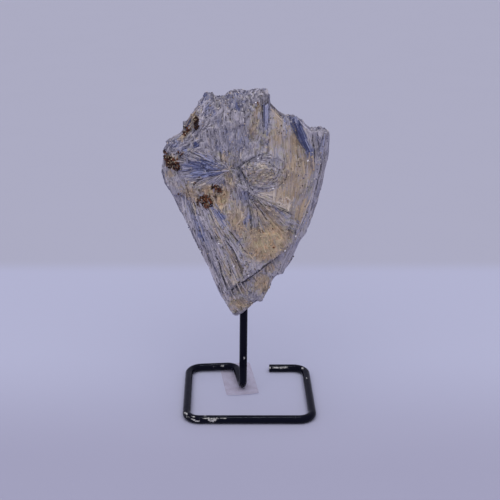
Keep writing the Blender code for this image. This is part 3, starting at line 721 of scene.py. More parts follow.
def minerals(points, normals):
    """Blue, ochre, pale and dark at each point, how open a parting is there, and the distance to its edge. The
    dark is painted shade in the partings and a darker ground in the garnet nests.
    """
    x, _, z = points.T
    back = normals[:, 1] > 0
    flat = points[:, [0, 2]]
    shift_x, shift_z = mark_wander(flat)
    x_here, z_here = x + shift_x, z + shift_z
    made = []
    pairs = (
        (FRONT_BLUE, BACK_BLUE, 1.1, 7.0, 0.34), (FRONT_OCHRE, BACK_OCHRE, 1.9, 6.0, 0.18),
        (FRONT_PALE, BACK_PALE, 1.6, 4.0, 0.34),
    )
    for seed, (front_marks, back_marks, soft, size, mottle) in enumerate(pairs):
        here = np.where(back, spots(x_here, z_here, back_marks, soft), spots(x_here, z_here, front_marks, soft))
        mottled = 0.6 * soft_noise(points, size, 23 + seed) + 0.7 * soft_noise(points, 1.5, 26 + seed)
        made.append(np.clip(here + mottle * mottled, 0, 1))
    parting = np.zeros(len(x))
    beside = np.full(len(x), 99.0)
    for line, half_width, depth in PARTINGS + [LEDGE]:
        distance = line_place(x + PARTING_WANDER * shift_x, z + PARTING_WANDER * shift_z, line)[0]
        parting = np.maximum(parting, (1 - ramp(half_width * 0.6, half_width * 1.4, distance)) * depth)
        beside = np.minimum(beside, distance - 0.7 * half_width)
    parting = np.where(back, 0.0, parting)
    beside = np.where(back, 99.0, beside)
    # The fourth channel: painted shade in the partings and a darker ground in the garnet nests
    nests = [(a, b, c + 0.3, d + 0.3, 0, 0.85) for a, b, c, d, many, _ in GARNET_NESTS if many > 12]
    nest_dark_ground = np.where(back, 0.0, spots(x_here, z_here, nests, 0.5))
    made.append(np.clip(np.maximum(0.7 * parting, nest_dark_ground), 0, 1))
    wall = 1 - ramp(0.35, 0.75, np.abs(normals[:, 1]))
    made[0] = np.maximum(made[0], 0.35 * wall)
    return np.stack(made, axis=1), parting, beside


def net_mesh(size):
    """The frame's stone as an even net of small faces of the given size, in millimetres."""
    bm = bmesh.new()
    bm.from_mesh(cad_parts[STONE].data)
    bmesh.ops.remove_doubles(bm, verts=bm.verts, dist=1e-6)
    bmesh.ops.scale(bm, vec=Vector((1, 1, 1)) / MM, verts=bm.verts)
    rough = bpy.data.meshes.new("stone_rough")
    bm.to_mesh(rough)
    bm.free()
    holder = bpy.data.objects.new("stone_net", rough)
    bpy.context.scene.collection.objects.link(holder)
    net = holder.modifiers.new("net", "REMESH")
    net.mode = "VOXEL"
    net.voxel_size = size
    depsgraph = bpy.context.evaluated_depsgraph_get()
    mesh = bpy.data.meshes.new_from_object(holder.evaluated_get(depsgraph))
    bpy.data.objects.remove(holder)
    bpy.data.meshes.remove(rough)
    return mesh


def read_points(mesh):
    """Vertex places and normals of a mesh."""
    points = np.zeros(len(mesh.vertices) * 3)
    mesh.vertices.foreach_get("co", points)
    normals = np.zeros(len(mesh.vertices) * 3)
    mesh.vertex_normals.foreach_get("vector", normals)
    return points.reshape(-1, 3), normals.reshape(-1, 3)


def eased(mesh, values, rounds):
    """Values averaged over neighbouring vertices a number of times."""
    edges = np.zeros(len(mesh.edges) * 2, int)
    mesh.edges.foreach_get("vertices", edges)
    first, second = edges.reshape(-1, 2).T
    count = np.bincount(edges, minlength=len(values))[:, None] + 1
    for _ in range(rounds):
        total = values.copy()
        for axis in range(values.shape[1]):
            total[:, axis] += np.bincount(first, values[second, axis], len(values))
            total[:, axis] += np.bincount(second, values[first, axis], len(values))
        values = total / count
    return values


def pin_clearance(points):
    """0 beside the pin hole and 1 away from it, so that the surface there keeps clear of the post."""
    axis = np.array((POST_TOP - POST_FOOT).normalized())
    offset = points - np.array(POST_FOOT)
    along = offset @ axis
    distance = np.linalg.norm(offset - along[:, None] * axis, axis=1)
    beside = np.where(along < (POST_TOP - POST_FOOT).length + 1.5, distance, 99.0)
    return ramp(PIN_CLEARANCE, PIN_CLEARANCE_END, beside)


def store(mesh, name, kind, values):
    """Keep values for each vertex under a name."""
    attribute = mesh.attributes.new(name, kind, "POINT")
    field = {"FLOAT": "value", "FLOAT_VECTOR": "vector", "FLOAT_COLOR": "color"}[kind]
    attribute.data.foreach_set(field, np.asarray(values, np.float32).ravel())


def set_points(mesh, points):
    """Move a mesh's vertices to points given in millimetres, kept inside the frame's stone's box."""
    low, high = (np.array(corner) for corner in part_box(STONE))
    inside = np.clip(points * MM, low, high)
    mesh.vertices.foreach_set("co", inside.ravel())
    mesh.update()


def add_piece(name, mesh, node):
    """Put a finished mesh in the scene as a piece that rides on the body and stands for a node."""
    piece = bpy.data.objects.new(name, mesh)
    bpy.context.scene.collection.objects.link(piece)
    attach(piece, BODY)
    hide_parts(node)


class StoneSkin:
    """The stone's surface net with its grain, shaped and ready to be made into a piece."""

    def __init__(self, settings):
        self.mesh = net_mesh(in_mm(settings.net_size))
        points, normals = read_points(self.mesh)
        self.normals = eased(self.mesh, normals, NORMAL_ROUNDS)
        self.normals /= np.linalg.norm(self.normals, axis=1)[:, None] + 1e-9
        self.grain = Grain(points, self.normals)
        self.minerals, self.parting, self.beside = minerals(points, self.normals)
        broad, tone, gap = self.grain.levels(1.0, 31)
        fine, fine_tone, fine_gap = self.grain.levels(0.55, 41)
        texture = np.stack([self.grain.contrast, self.grain.lightness], axis=1)
        self.contrast, self.lightness = eased(self.mesh, texture, TEXTURE_ROUNDS).T
        self.gap = np.maximum(gap, fine_gap)
        height = in_mm(settings.relief) * (broad + 0.6 * fine) * self.contrast
        self.roughen(points, height)
        self.raise_ledge(points, height)
        self.break_rim(points, height)
        height *= pin_clearance(points)
        height -= 0.12
        self.points = points + self.normals * height[:, None]
        # The lower part of the side face gets painted light
        painted_light_side = (self.grain.zone == SIDE_FACE_ZONE) & (points[:, 2] < SIDE_FACE_PAINTED_LIGHT_BELOW)
        # The gaps between planks are darkened as painted shade
        tone = 0.6 * tone + 0.4 * fine_tone - 0.4 * gap - 0.3 * fine_gap + SIDE_FACE_PAINTED_LIGHT * painted_light_side
        # Upward faces are darkened as painted shade against the strong light from above
        tone = tone + 0.2 * soft_noise(points, 1.2, 53) - 0.22 * ramp(0.3, 0.9, self.normals[:, 2])
        self.tone = np.clip(0.55 + (tone - 0.55) * self.contrast + self.lightness, 0, 1)
        set_points(self.mesh, self.points)
        self.tree = self.grown_tree()

    def roughen(self, points, height):
        """Add fine unevenness, coarser where the stone is granular, and the open partings to the height."""
        height += 0.12 * soft_noise(points, 1.3, 51)
        height -= 0.6 * ramp(0.3, 0.9, self.normals[:, 2])
        crumbly = np.isin(self.grain.zone, GRANULAR_ZONES)
        height += np.where(crumbly, 0.35 * soft_noise(points, 1.9, 52), 0.0)
        height -= 0.9 * self.parting

    def raise_ledge(self, points, height):
        """Raise the front above the ledge's line and lower it under the line."""
        _, side, run, _ = line_place(points[:, 0], points[:, 2], LEDGE[0])
        upper = ramp(0.0, 0.7, side) * (1 - ramp(1.5, 7.0, side))
        lower = ramp(0.0, 0.7, -side) * (1 - ramp(2.0, 9.0, -side))
        on_ledge = (self.normals[:, 1] < 0) & (run > 0.1)
        height += LEDGE_RISE * on_ledge * (upper - lower)

    def break_rim(self, points, height):
        """Break the outline's edge, most at the upper left, and add its knobs and dents."""
        edge = 1 - ramp(0.3, 0.85, np.abs(self.normals[:, 1]))
        rough = 0.4 + 1.0 * ramp(-12.0, -26.0, points[:, 0]) * ramp(140.0, 152.0, points[:, 2])
        coarse = np.clip(2.2 * soft_noise(points, 3.0, 54), -1, 1)
        fine = np.clip(2.2 * soft_noise(points, 1.5, 55), -1, 1)
        height += edge * rough * (0.6 * (coarse + 0.6 * fine) - 0.3)
        for x, z, radius, rise in RIM_KNOBS:
            reach = np.hypot(points[:, 0] - x, points[:, 2] - z) / radius
            height += edge * rise * (1 - ramp(0.4, 1.4, reach))

    def grown_tree(self):
        """A search tree of the shaped surface, in millimetres."""
        faces = [tuple(face.vertices) for face in self.mesh.polygons]
        self.face_points = [face[0] for face in faces]
        return BVHTree.FromPolygons([Vector(point) for point in self.points], faces)

    def lay_on(self, point):
        """The surface place nearest to a point and the number of a vertex there."""
        place, _, face, _ = self.tree.find_nearest(point)
        return place, self.face_points[face]

    def place_on(self, x, z, side=-1):
        """The surface point and its normal at X and Z, on the front for side -1 or the back for 1."""
        origin = Vector((x, side * 100.0, z))
        place, normal, _, _ = self.tree.ray_cast(origin, Vector((0, -side, 0)))
        return place, normal

    def finish(self):
        """Store what the material needs and give back the mesh."""
        grain = [self.grain.across, self.grain.along, self.grain.zone * 7.3]
        store(self.mesh, "grain", "FLOAT_VECTOR", np.stack(grain, axis=1))
        store(self.mesh, "minerals", "FLOAT_COLOR", self.minerals)
        store(self.mesh, "tone", "FLOAT", self.tone)
        store(self.mesh, "contrast", "FLOAT", self.contrast)
        self.mesh.shade_smooth()
        self.mesh.set_sharp_from_angle(angle=math.radians(38))
        return self.mesh


class Growth:
    """Many small solids gathered into one mesh, each with its own grain, mineral colours with painted shade,
    and tone.
    """

    def __init__(self):
        self.points = []
        self.faces = []
        self.grain = []
        self.minerals = []
        self.tone = []
        self.contrast = []

    def add(self, points, faces, grain, minerals_and_shade_here, tone, contrast=1.0):
        """Add one closed solid."""
        start = len(self.points)
        self.points += points
        self.faces += [tuple(start + i for i in face) for face in faces]
        self.grain += grain
        self.minerals += [minerals_and_shade_here] * len(points)
        self.tone += [tone] * len(points)
        self.contrast += [contrast] * len(points)

    def mesh(self, name):
        """The gathered solids as one flat-faced mesh."""
        mesh = bpy.data.meshes.new(name)
        mesh.from_pydata([tuple(point) for point in self.points], [], self.faces)
        set_points(mesh, np.array(self.points, float).reshape(-1, 3))
        bm = bmesh.new()
        bm.from_mesh(mesh)
        bmesh.ops.recalc_face_normals(bm, faces=bm.faces)
        bm.to_mesh(mesh)
        bm.free()
        store(mesh, "grain", "FLOAT_VECTOR", self.grain)
        store(mesh, "minerals", "FLOAT_COLOR", self.minerals)
        store(mesh, "tone", "FLOAT", self.tone)
        store(mesh, "contrast", "FLOAT", self.contrast)
        return mesh


def add_lath(growth, stations, outward, width, rise, sink, lean, minerals_and_shade_here, tone, seed, contrast=1.0):
    """One flat blade along the stations: bevelled on one edge, thinned to its ends, tips cut aslant."""
    shoulder = 1 if lean > 0 else -1
    bevel = 0.55 * rise + 0.12
    section = [(-0.5, 0.0), (0.18, 0.0), (0.5, -bevel), (0.42, -sink), (-0.42, -sink)]
    run = 0.0
    points, grain = [], []
    last = len(stations) - 1
    for k, station in enumerate(stations):
        along = (stations[min(k + 1, last)] - stations[max(k - 1, 0)]).normalized()
        if k:
            run += (station - stations[k - 1]).length
        across = along.cross(outward).normalized()
        up = across.cross(along).normalized()
        roll = Matrix.Rotation(0.24 * lean, 3, along)
        across, up = roll @ across, roll @ up
        narrow = 1.0 if 0 < k < last else 0.72
        slant = 0.0 if 0 < k < last else 0.8 * lean * width * (-1 if k else 1)
        lift = rise if 0 < k < last else 0.55 * rise
        for s, n in section:
            offset = across * s * width * narrow * shoulder + along * s * slant
            points.append(station + offset + up * (lift + n))
            grain.append((s * width + seed * 3.1, run + seed * 17.0, seed * 0.37))
    faces = [(0, 1, 2, 3, 4), tuple(5 * last + i for i in range(5))]
    for k in range(last):
        for i in range(5):
            j = (i + 1) % 5
            faces.append((5 * k + i, 5 * k + j, 5 * k + 5 + j, 5 * k + 5 + i))
    growth.add(points, faces, grain, minerals_and_shade_here, tone, contrast)


def own_mix(mix, chance):
    """The mineral colours and painted shade of one blade: those of its place with a share of its own."""
    blue, ochre, pale, dark = (float(value) for value in mix)
    blue += chance.gauss(0, 0.15)
    ochre += chance.gauss(0, 0.08)
    pale += chance.gauss(0, 0.16)
    return tuple(min(max(value, 0.0), 1.0) for value in (blue, ochre, pale, 0.6 * dark))


def own_tone(tone, chance):
    """The lightness of one blade: some are very dark or very light."""
    kind = chance.random()
    if kind < 0.1:
        return chance.uniform(0.0, 0.2)
    if kind > 0.92:
        return chance.uniform(0.85, 1.0)
    return min(max(0.5 * float(tone) + chance.uniform(0.05, 0.55), 0.0), 1.0)


def grow_blades(skin, count, front, seed):
    """Small blades along the grain, on the front or on the rest, their ends laid on the surface."""
    chance = random.Random(seed)
    growth = Growth()
    facing = skin.normals[:, 1] < -0.35
    clear = (pin_clearance(skin.points) > 0.9) & (skin.minerals[:, 3] < 0.4) & (skin.gap < 0.75)
    places = np.flatnonzero((facing == front) & clear)
    for number in range(count):
        i = int(places[chance.randrange(len(places))])
        contrast = float(skin.contrast[i])
        granular = int(skin.grain.zone[i]) in GRANULAR_ZONES
        if chance.random() > (0.5 if granular else 0.35 + 0.65 * contrast):
            continue
        here = Vector(skin.points[i])
        normal = Vector(skin.normals[i])
        way = Vector(skin.grain.way[i])
        way = way - normal * way.dot(normal)
        if way.length < 0.3:
            way = normal.cross(Vector((0, 1, 0)))
        turn = Matrix.Rotation(math.radians(chance.gauss(0, skin.grain.disorder[i])), 3, normal)
        way = turn @ way.normalized()
        width = skin.grain.plank_width[i] * chance.uniform(0.18, 0.42) * chance.choice((1.0, 1.0, 1.0, 1.5))
        length = max(skin.grain.plank_length[i] * chance.uniform(0.25, 0.85), 2.0 * width)
        laid = [skin.lay_on(here + way * length * reach) for reach in (-0.5, 0.0, 0.5)]
        ends = [place for place, _ in laid]
        between = [skin.lay_on(here + way * length * reach)[1] for reach in (-0.25, 0.25)]
        beside = min(skin.beside[vertex] for vertex in between + [vertex for _, vertex in laid])
        if (ends[2] - ends[0]).length < 0.75 * length or beside < 0.5 * width:
            continue
        ends[1] = ((ends[0] + ends[2]) / 2).lerp(ends[1], 0.5)
        rise = chance.uniform(0.1, 0.5) * min(1.0, width + 0.3) * (0.3 + 0.7 * contrast)
        mix = own_mix(skin.minerals[i], chance)
        tone = 0.55 + (own_tone(skin.tone[i], chance) - 0.55) * min(contrast, 1.0)
        tone += 0.6 * float(skin.lightness[i])
        tone = max(tone, 0.5 * (width - 0.45))
        lean = chance.uniform(-1, 1)
        add_lath(growth, ends, normal, width, rise, rise + 0.9, lean, mix, tone, number, contrast)
    return growth


def grow_splinters(skin, growth):
    """Broken ends of fibres that stand up along the top edges."""
    chance = random.Random(SPLINTER_SEED)
    for number in range(SPLINTER_COUNT):
        x, y = chance.uniform(-46.0, 46.5), chance.uniform(-12.0, 14.0)
        top, normal, face, _ = skin.tree.ray_cast(Vector((x, y, 260.0)), Vector((0, 0, -1)))
        if top is None or top.z < 140.0 or normal.z < 0.25:
            continue
        vertex = skin.face_points[face]
        lean = Vector((chance.gauss(0.03 * x / 10, 0.10), chance.gauss(0, 0.08), 1.0)).normalized()
        reach = chance.uniform(-0.2, 0.7)
        stations = [top - lean * chance.uniform(2.0, 4.5), top - lean * 0.9, top + lean * reach]
        outward = Vector((chance.gauss(0, 0.3), -1.0 if y < POST_Y else 1.0, 0.0)).normalized()
        width = chance.uniform(0.7, 1.9)
        mix = own_mix(skin.minerals[vertex], chance)
        # Splinters are darkened to 0.7 of their tone, painted shade against the strong light on the top edges
        tone = 0.7 * own_tone(skin.tone[vertex], chance)
        add_lath(growth, stations, outward, width, 0.25, 0.8, chance.uniform(-0.6, 0.6), mix, tone, number)


def grow_named_laths(skin, growth):
    """The large single blades of the front."""
    for number, (start, end, width, rise, blue, tone) in enumerate(FRONT_LATHS):
        stations = []
        for share in (0.0, 0.05, 0.1, 0.25, 0.5, 0.75, 1.0):
            x = start[0] + (end[0] - start[0]) * share
            z = start[1] + (end[1] - start[1]) * share
            place, _ = skin.place_on(x, z)
            if place is not None:
                stations.append(place)
        depth = sum(point.y for point in stations) / len(stations)
        for point in stations:
            point.y = 0.35 * point.y + 0.65 * depth
        lean = 0.5 if number % 2 else -0.6
        mix = (blue, 0.0, 0.0, 0.0)
        add_lath(growth, stations, Vector((0, -1, 0)), width, rise * 0.5, rise + 1.5, lean, mix, tone,
                 NAMED_LATH_SEED + number)


def grow_partings(skin, growth):
    """Thin strips of painted shade at the bottom of the partings, and a painted shadow under the ledge's lip.
    """
    for number, (line, half_width, _) in enumerate(PARTINGS + [LEDGE]):
        stations = []
        # Under the ledge the strip moves down and out of the groove, a painted shadow below the raised lip
        drop, rise = (0.35, 0.3) if line is LEDGE[0] else (0.0, 0.06)
        for point in even_line([Vector((x + 0.7 * drop, 0, z - 0.7 * drop)) for x, z in line], 1.6):
            shift_x, shift_z = mark_wander(np.array([[point.x, point.z]]))
            x, z = point.x - PARTING_WANDER * shift_x[0], point.z - PARTING_WANDER * shift_z[0]
            place, _ = skin.place_on(x, z)
            if place is not None:
                stations.append(place)
        width = 1.5 * half_width
        add_lath(growth, stations, Vector((0, -1, 0)), width, rise, 0.9, 0.1, (0, 0, 0, 1), 0.0,
                 PARTING_SEED + number)


def any_turn(chance):
    """A random turn in space."""
    axis = Vector((chance.gauss(0, 1), chance.gauss(0, 1), chance.gauss(0, 1))).normalized()
    return Matrix.Rotation(chance.uniform(0, math.tau), 3, axis)


def own_grain(points, seed):
    """Grain of a small solid of its own, different for each seed."""
    return [(point.x + seed, point.z + seed * 2.3, point.y) for point in points]


def place_in_nest(skin, nest, chance, spread=1.0):
    """A random place of the surface in the oval of a nest, and the normal there."""
    x, z, half_x, half_z = nest[:4]
    angle, reach = chance.uniform(0, math.tau), spread * math.sqrt(chance.random())
    return skin.place_on(x + half_x * reach * math.cos(angle), z + half_z * reach * math.sin(angle))


def add_garnet(growth, centre, radius, chance, tone):
    """One small many-faced crystal."""
    turn = any_turn(chance)
    squash = Vector([chance.uniform(0.75, 1.15) for _ in range(3)])
    bm = bmesh.new()
    bmesh.ops.create_icosphere(bm, subdivisions=1, radius=radius)
    points = []
    for vert in bm.verts:
        jitter = 1 + chance.uniform(-0.12, 0.12)
        points.append(turn @ Vector([a * b * jitter for a, b in zip(vert.co, squash)]))
    faces = [tuple(vert.index for vert in face.verts) for face in bm.faces]
    bm.free()
    grain = own_grain(points, len(growth.tone))
    growth.add([centre + point for point in points], faces, grain, (0, 0, 0, 0), tone)


def grow_garnets(skin):
    """The nests of small garnets, dark and reddish."""
    chance = random.Random(GARNET_SEED)
    growth = Growth()
    for nest in GARNET_NESTS:
        count, dark_share = nest[4:]
        for _ in range(count):
            place, normal = place_in_nest(skin, nest, chance)
            if place is None:
                continue
            radius = chance.uniform(0.3, 0.68)
            tone = chance.uniform(0, 0.35) if chance.random() < dark_share else chance.uniform(0.5, 1)
            add_garnet(growth, place + normal * (0.2 + 0.2 * radius), radius, chance, tone)
    return growth


def add_crumb(growth, centre, radius, chance, minerals_and_shade_here, tone, seed):
    """One angular crumb with six corners and eight sides."""
    turn = any_turn(chance)
    points = []
    for axis in ((1, 0, 0), (-1, 0, 0), (0, 1, 0), (0, -1, 0), (0, 0, 1), (0, 0, -1)):
        points.append(centre + turn @ Vector(axis) * radius * chance.uniform(0.65, 1.25))
    faces = [(a, b, c) for a in (0, 1) for b in (2, 3) for c in (4, 5)]
    growth.add(points, faces, own_grain(points, seed), minerals_and_shade_here, tone)


def grow_grains(skin, count):
    """Crumbs of quartz, feldspar and dark ore between the blades, most of them in the granular spots."""
    chance = random.Random(GRAIN_SEED)
    growth = Growth()
    for number in range(count):
        i = chance.randrange(len(skin.points))
        zone = int(skin.grain.zone[i])
        blue, ochre, pale = (float(value) for value in skin.minerals[i][:3])
        wanted = 0.3 + 0.5 * ochre + 0.3 * pale + (0.4 if zone in GRANULAR_ZONES else 0.0)
        if chance.random() > wanted:
            continue
        if pin_clearance(skin.points[i:i + 1])[0] < 0.9 or skin.parting[i] > 0.3:
            continue
        radius = chance.uniform(0.25, 0.6)
        centre = Vector(skin.points[i]) + Vector(skin.normals[i]) * chance.uniform(-0.1, 0.25)
        kinds = [
            ((0.0, min(ochre + 0.5, 1.0), 0.0, 0.0), chance.uniform(0.4, 1.0)),
            ((0.0, ochre, min(pale + 0.6, 1.0), 0.0), chance.uniform(0.5, 1.0)),
            ((blue, ochre, pale, 0.0), chance.uniform(0.2, 1.0)),
        ]
        if ochre < 0.5:
            kinds.append(((0.0, 0.4, 0.0, 0.75), chance.uniform(0.0, 0.3)))
            kinds.append(((min(blue + 0.4, 1.0), 0.0, 0.0, 0.0), chance.uniform(0.0, 0.6)))
        mix, tone = chance.choice(kinds)
        add_crumb(growth, centre, radius, chance, mix, tone, number)
    for nest in GARNET_NESTS:
        for number in range(math.ceil(nest[4] / 5)):
            place, normal = place_in_nest(skin, nest, chance, 1.2)
            if place is not None:
                centre = place + normal * chance.uniform(0.1, 0.5)
                mix = (0.0, chance.uniform(0.7, 1.0), 0.0, 0.0)
                radius, tone = chance.uniform(0.3, 0.55), chance.uniform(0.0, 0.5)
                add_crumb(growth, centre, radius, chance, mix, tone, number)
    return growth


def grow_glint_flakes(skin):
    """Bright cleavage flakes, glossy and coloured near white as painted glints: six-sided plates, the first few
    larger than the rest.
    """
    chance = random.Random(FLAKE_SEED)
    growth = Growth()
    places = [skin.place_on(x, z)[0] for x, z in SPARKLES]
    for _ in range(FLAKE_COUNT):
        i = chance.randrange(len(skin.points))
        places.append(Vector(skin.points[i]) + Vector(skin.normals[i]) * 0.2)
    faces = [tuple(range(6)), tuple(range(11, 5, -1))]
    faces += [(k, 6 + k, 6 + (k + 1) % 6, (k + 1) % 6) for k in range(6)]
    for number, place in enumerate(places):
        large = number < len(SPARKLES)
        size = chance.uniform(0.5, 0.62) if large else chance.uniform(0.12, 0.22)
        outward = Vector((0, -1, 0.45)) if place.y < POST_Y else Vector((0, 1, 0.45))
        side = outward.orthogonal().normalized()
        other = outward.cross(side).normalized()
        turn = chance.uniform(0, math.tau)
        points = []
        for level in (1.0 if large else 0.6, -0.6):
            for k in range(6):
                angle = turn + math.tau * k / 6
                flat = side * math.cos(angle) + other * math.sin(angle) * 0.7
                points.append(place + flat * size + outward.normalized() * level)
        growth.add(points, faces, own_grain(points, 0), (0, 0, 1, 0), 1.0)
    return growth


class Nodes:
    """Short ways to build a material's node tree."""

    def __init__(self, name):
        self.material = bpy.data.materials.new(name)
        self.material.use_nodes = True
        self.tree = self.material.node_tree
        self.shader = self.tree.nodes["Principled BSDF"]

    def add(self, kind, inputs=(), **settings):
        """A node with its settings, and its inputs filled or linked by name or number."""
        made = self.tree.nodes.new(kind)
        for key, value in settings.items():
            setattr(made, key, value)
        for key, value in dict(inputs).items():
            self.feed(made.inputs[key], value)
        return made

    def feed(self, socket, value):
        """Link another node's output to a socket, or set its value."""
        if isinstance(value, bpy.types.NodeSocket):
            self.tree.links.new(value, socket)
        else:
            socket.default_value = value if isinstance(value, (int, float)) else tuple(value)

    def attribute(self, name, output="Fac"):
        """A named attribute of the mesh."""
        return self.add("ShaderNodeAttribute", attribute_name=name).outputs[output]

    def place(self, scale=1 / MM):
        """The place on the piece, in millimetres unless the scale says otherwise."""
        return self.stretch(self.add("ShaderNodeTexCoord").outputs["Object"], (scale,) * 3)

    def stretch(self, vector, scale):
        """A vector times a scale for each axis."""
        return self.add("ShaderNodeVectorMath", {0: vector, 1: scale}, operation="MULTIPLY").outputs[0]

    def noise(self, vector, scale, detail=4.0, roughness=0.55, distortion=0.0):
        """Soft noise around one half."""
        inputs = {"Vector": vector, "Scale": scale, "Detail": detail, "Roughness": roughness,
                  "Distortion": distortion}
        return self.add("ShaderNodeTexNoise", inputs).outputs[0]

    def maths(self, operation, a, b=0.0):
        """One sum of two numbers."""
        return self.add("ShaderNodeMath", {0: a, 1: b}, operation=operation).outputs[0]

    def plus(self, a, b):
        """Two numbers added."""
        return self.maths("ADD", a, b)

    def times(self, a, b):
        """Two numbers multiplied."""
        return self.maths("MULTIPLY", a, b)

    def swing(self, noise, amount):
        """A noise's swing about one half, times an amount."""
        return self.times(self.maths("SUBTRACT", noise, 0.5), amount)

    def spread(self, value, low, high, to_low=0.0, to_high=1.0):
        """A value's range, smoothly mapped to another range."""
        inputs = {"Value": value, "From Min": low, "From Max": high, "To Min": to_low, "To Max": to_high}
        return self.add("ShaderNodeMapRange", inputs, interpolation_type="SMOOTHSTEP").outputs[0]

    def mix(self, factor, a, b):
        """Colour a at factor 0 and b at factor 1."""
        return self.add("ShaderNodeMix", {0: factor, 6: a, 7: b}, data_type="RGBA").outputs[2]

    def bump(self, height, distance, strength=1.0, normal=None):
        """Relief from a height, over a distance in metres."""
        inputs = {"Height": height, "Distance": distance, "Strength": strength}
        if normal is not None:
            inputs["Normal"] = normal
        return self.add("ShaderNodeBump", inputs).outputs[0]

    def finish(self, **inputs):
        """Fill the shader's inputs, whose names have underscores here for spaces."""
        for key, value in inputs.items():
            self.feed(self.shader.inputs[key.replace("_", " ")], value)
        return self.material


def kyanite_material(settings):
    """Fibrous kyanite: grey fibres with blue, tan, ochre and milky runs, pearly along the blades, with painted
    shade in its partings, gaps and upward faces.
    """
    n = Nodes("kyanite")
    grain = n.attribute("grain", "Vector")
    tone = n.attribute("tone")
    contrast = n.attribute("contrast")
    parts = n.add("ShaderNodeSeparateColor", {0: n.attribute("minerals", "Color")})
    blue_here, ochre_here, pale_here = parts.outputs[:3]
    # The dark channel: painted shade in the partings, the nests' darker ground and dark ore crumbs
    dark_and_shade_here = n.attribute("minerals", "Alpha")
    place = n.place()
    streak = n.noise(n.stretch(grain, (1.0, 0.13, 1.0)), 0.9, 5.0, 0.62, 0.4)
    fine = n.noise(n.stretch(grain, (1.0, 0.16, 1.0)), 2.0, 3.0, 0.6)
    cloud = n.noise(place, 0.16, 3.0, 0.5)
    speck = n.noise(place, 0.95, 2.0, 0.6)
    hue = n.noise(place, 0.42, 3.0, 0.6)

    # Grey fibres, light and dark
    texture = n.plus(n.swing(streak, 0.5), n.swing(fine, 0.4))
    texture = n.plus(n.times(texture, contrast), n.swing(cloud, 0.25))
    lightness = n.plus(n.times(tone, 0.55), n.plus(texture, 0.3))
    light = n.spread(lightness, 0.2, 0.9)
    colour = n.mix(light, settings.shade, settings.grey)

    # Stains: an olive fringe, then tan, then ochre with straw-coloured places
    wander = n.plus(n.swing(streak, 1.0), n.swing(speck, 1.2))
    stain = n.plus(ochre_here, n.times(wander, 0.2))
    fringe = n.times(n.spread(stain, 0.02, 0.3), n.spread(hue, 0.46, 0.6, 0.0, 0.8))
    colour = n.mix(fringe, colour, n.mix(light, OLIVE_SHADE, OLIVE))
    tan_colour = n.mix(light, dimmed(settings.tan, 0.34), settings.tan)
    colour = n.mix(n.spread(stain, 0.1, 0.62, 0.0, 0.95), colour, tan_colour)
    ochre_full = n.mix(n.spread(hue, 0.38, 0.55), settings.ochre, STRAW)
    ochre_colour = n.mix(light, n.mix(0.62, ochre_full, RUST_SHADE), ochre_full)
    colour = n.mix(n.spread(stain, 0.5, 1.1, 0.0, 0.8), colour, ochre_colour)

    # Milky spots and blue blades
    pale_amount = n.spread(n.plus(pale_here, n.times(wander, 0.4)), 0.25, 1.0, 0.0, 0.8)
    colour = n.mix(pale_amount, colour, settings.pale)
    blue_amount = n.spread(n.plus(blue_here, n.times(wander, 0.3)), 0.1, 0.95)
    blue_colour = n.mix(n.spread(lightness, 0.25, 1.0), settings.navy, settings.blue)
    colour = n.mix(blue_amount, colour, blue_colour)

    # Dark seams along the fibres, dark freckles, pale specks, the painted shade of the partings and the darker
    # ground of the nests
    seam = n.noise(n.stretch(grain, (1.0, 0.09, 1.0)), 0.62, 1.0, 0.5, 0.5)
    seam_line = n.spread(n.maths("ABSOLUTE", n.maths("SUBTRACT", seam, 0.5)), 0.004, 0.03, 1.0, 0.0)
    seam_here = n.times(n.spread(cloud, 0.38, 0.52), n.spread(contrast, 0.45, 1.0, 0.0, 0.85))
    colour = n.mix(n.times(seam_line, seam_here), colour, dimmed(settings.shade, 0.3))
    freckle = n.times(n.spread(speck, 0.6, 0.72, 0.0, 0.5), contrast)
    colour = n.mix(freckle, colour, dimmed(settings.shade, 0.5))
    colour = n.mix(n.spread(speck, 0.38, 0.28, 0.0, 0.3), colour, settings.pale)
    ground = n.mix(n.spread(ochre_here, 0.1, 0.4), dimmed(settings.shade, 0.25), DARK_BROWN)
    colour = n.mix(n.times(dark_and_shade_here, 0.88), colour, ground)

    normal = n.bump(n.plus(n.times(fine, 0.6), streak), 0.00022, 0.55)
    rough = n.spread(n.plus(streak, n.times(tone, 0.3)), 0.3, 0.9, 0.62, 0.36)
    return n.finish(Base_Color=colour, Roughness=rough, Normal=normal, IOR=1.5, Specular_IOR_Level=0.3)


def glint_flake_material(settings):
    """Bright mica and cleavage flakes with fine lines across them, their near-white colour a painted glint."""
    n = Nodes("flake_glint")
    lines = n.noise(n.stretch(n.attribute("grain", "Vector"), (1.0, 0.3, 1.0)), 4.0, 2.0, 0.5)
    colour = n.mix(n.spread(lines, 0.35, 0.65), MICA_AND_GLINT, settings.flake_glint)
    return n.finish(Base_Color=colour, Roughness=0.3, Normal=n.bump(lines, 0.00004, 0.3), IOR=1.6)


def garnet_material(settings):
    """Dark brown garnet, some crystals reddish, with a soft glassy lustre."""
    n = Nodes("garnet")
    cloud = n.noise(n.place(), 1.4, 3.0, 0.6)
    amount = n.spread(n.plus(n.attribute("tone"), n.swing(cloud, 0.6)), 0.25, 0.9)
    colour = n.mix(amount, settings.garnet, settings.garnet_red)
    normal = n.bump(cloud, 0.0002, 0.4)
    rough = n.spread(cloud, 0.3, 0.7, 0.35, 0.6)
    return n.finish(Base_Color=colour, Roughness=rough, Normal=normal, IOR=1.6, Specular_IOR_Level=0.18)


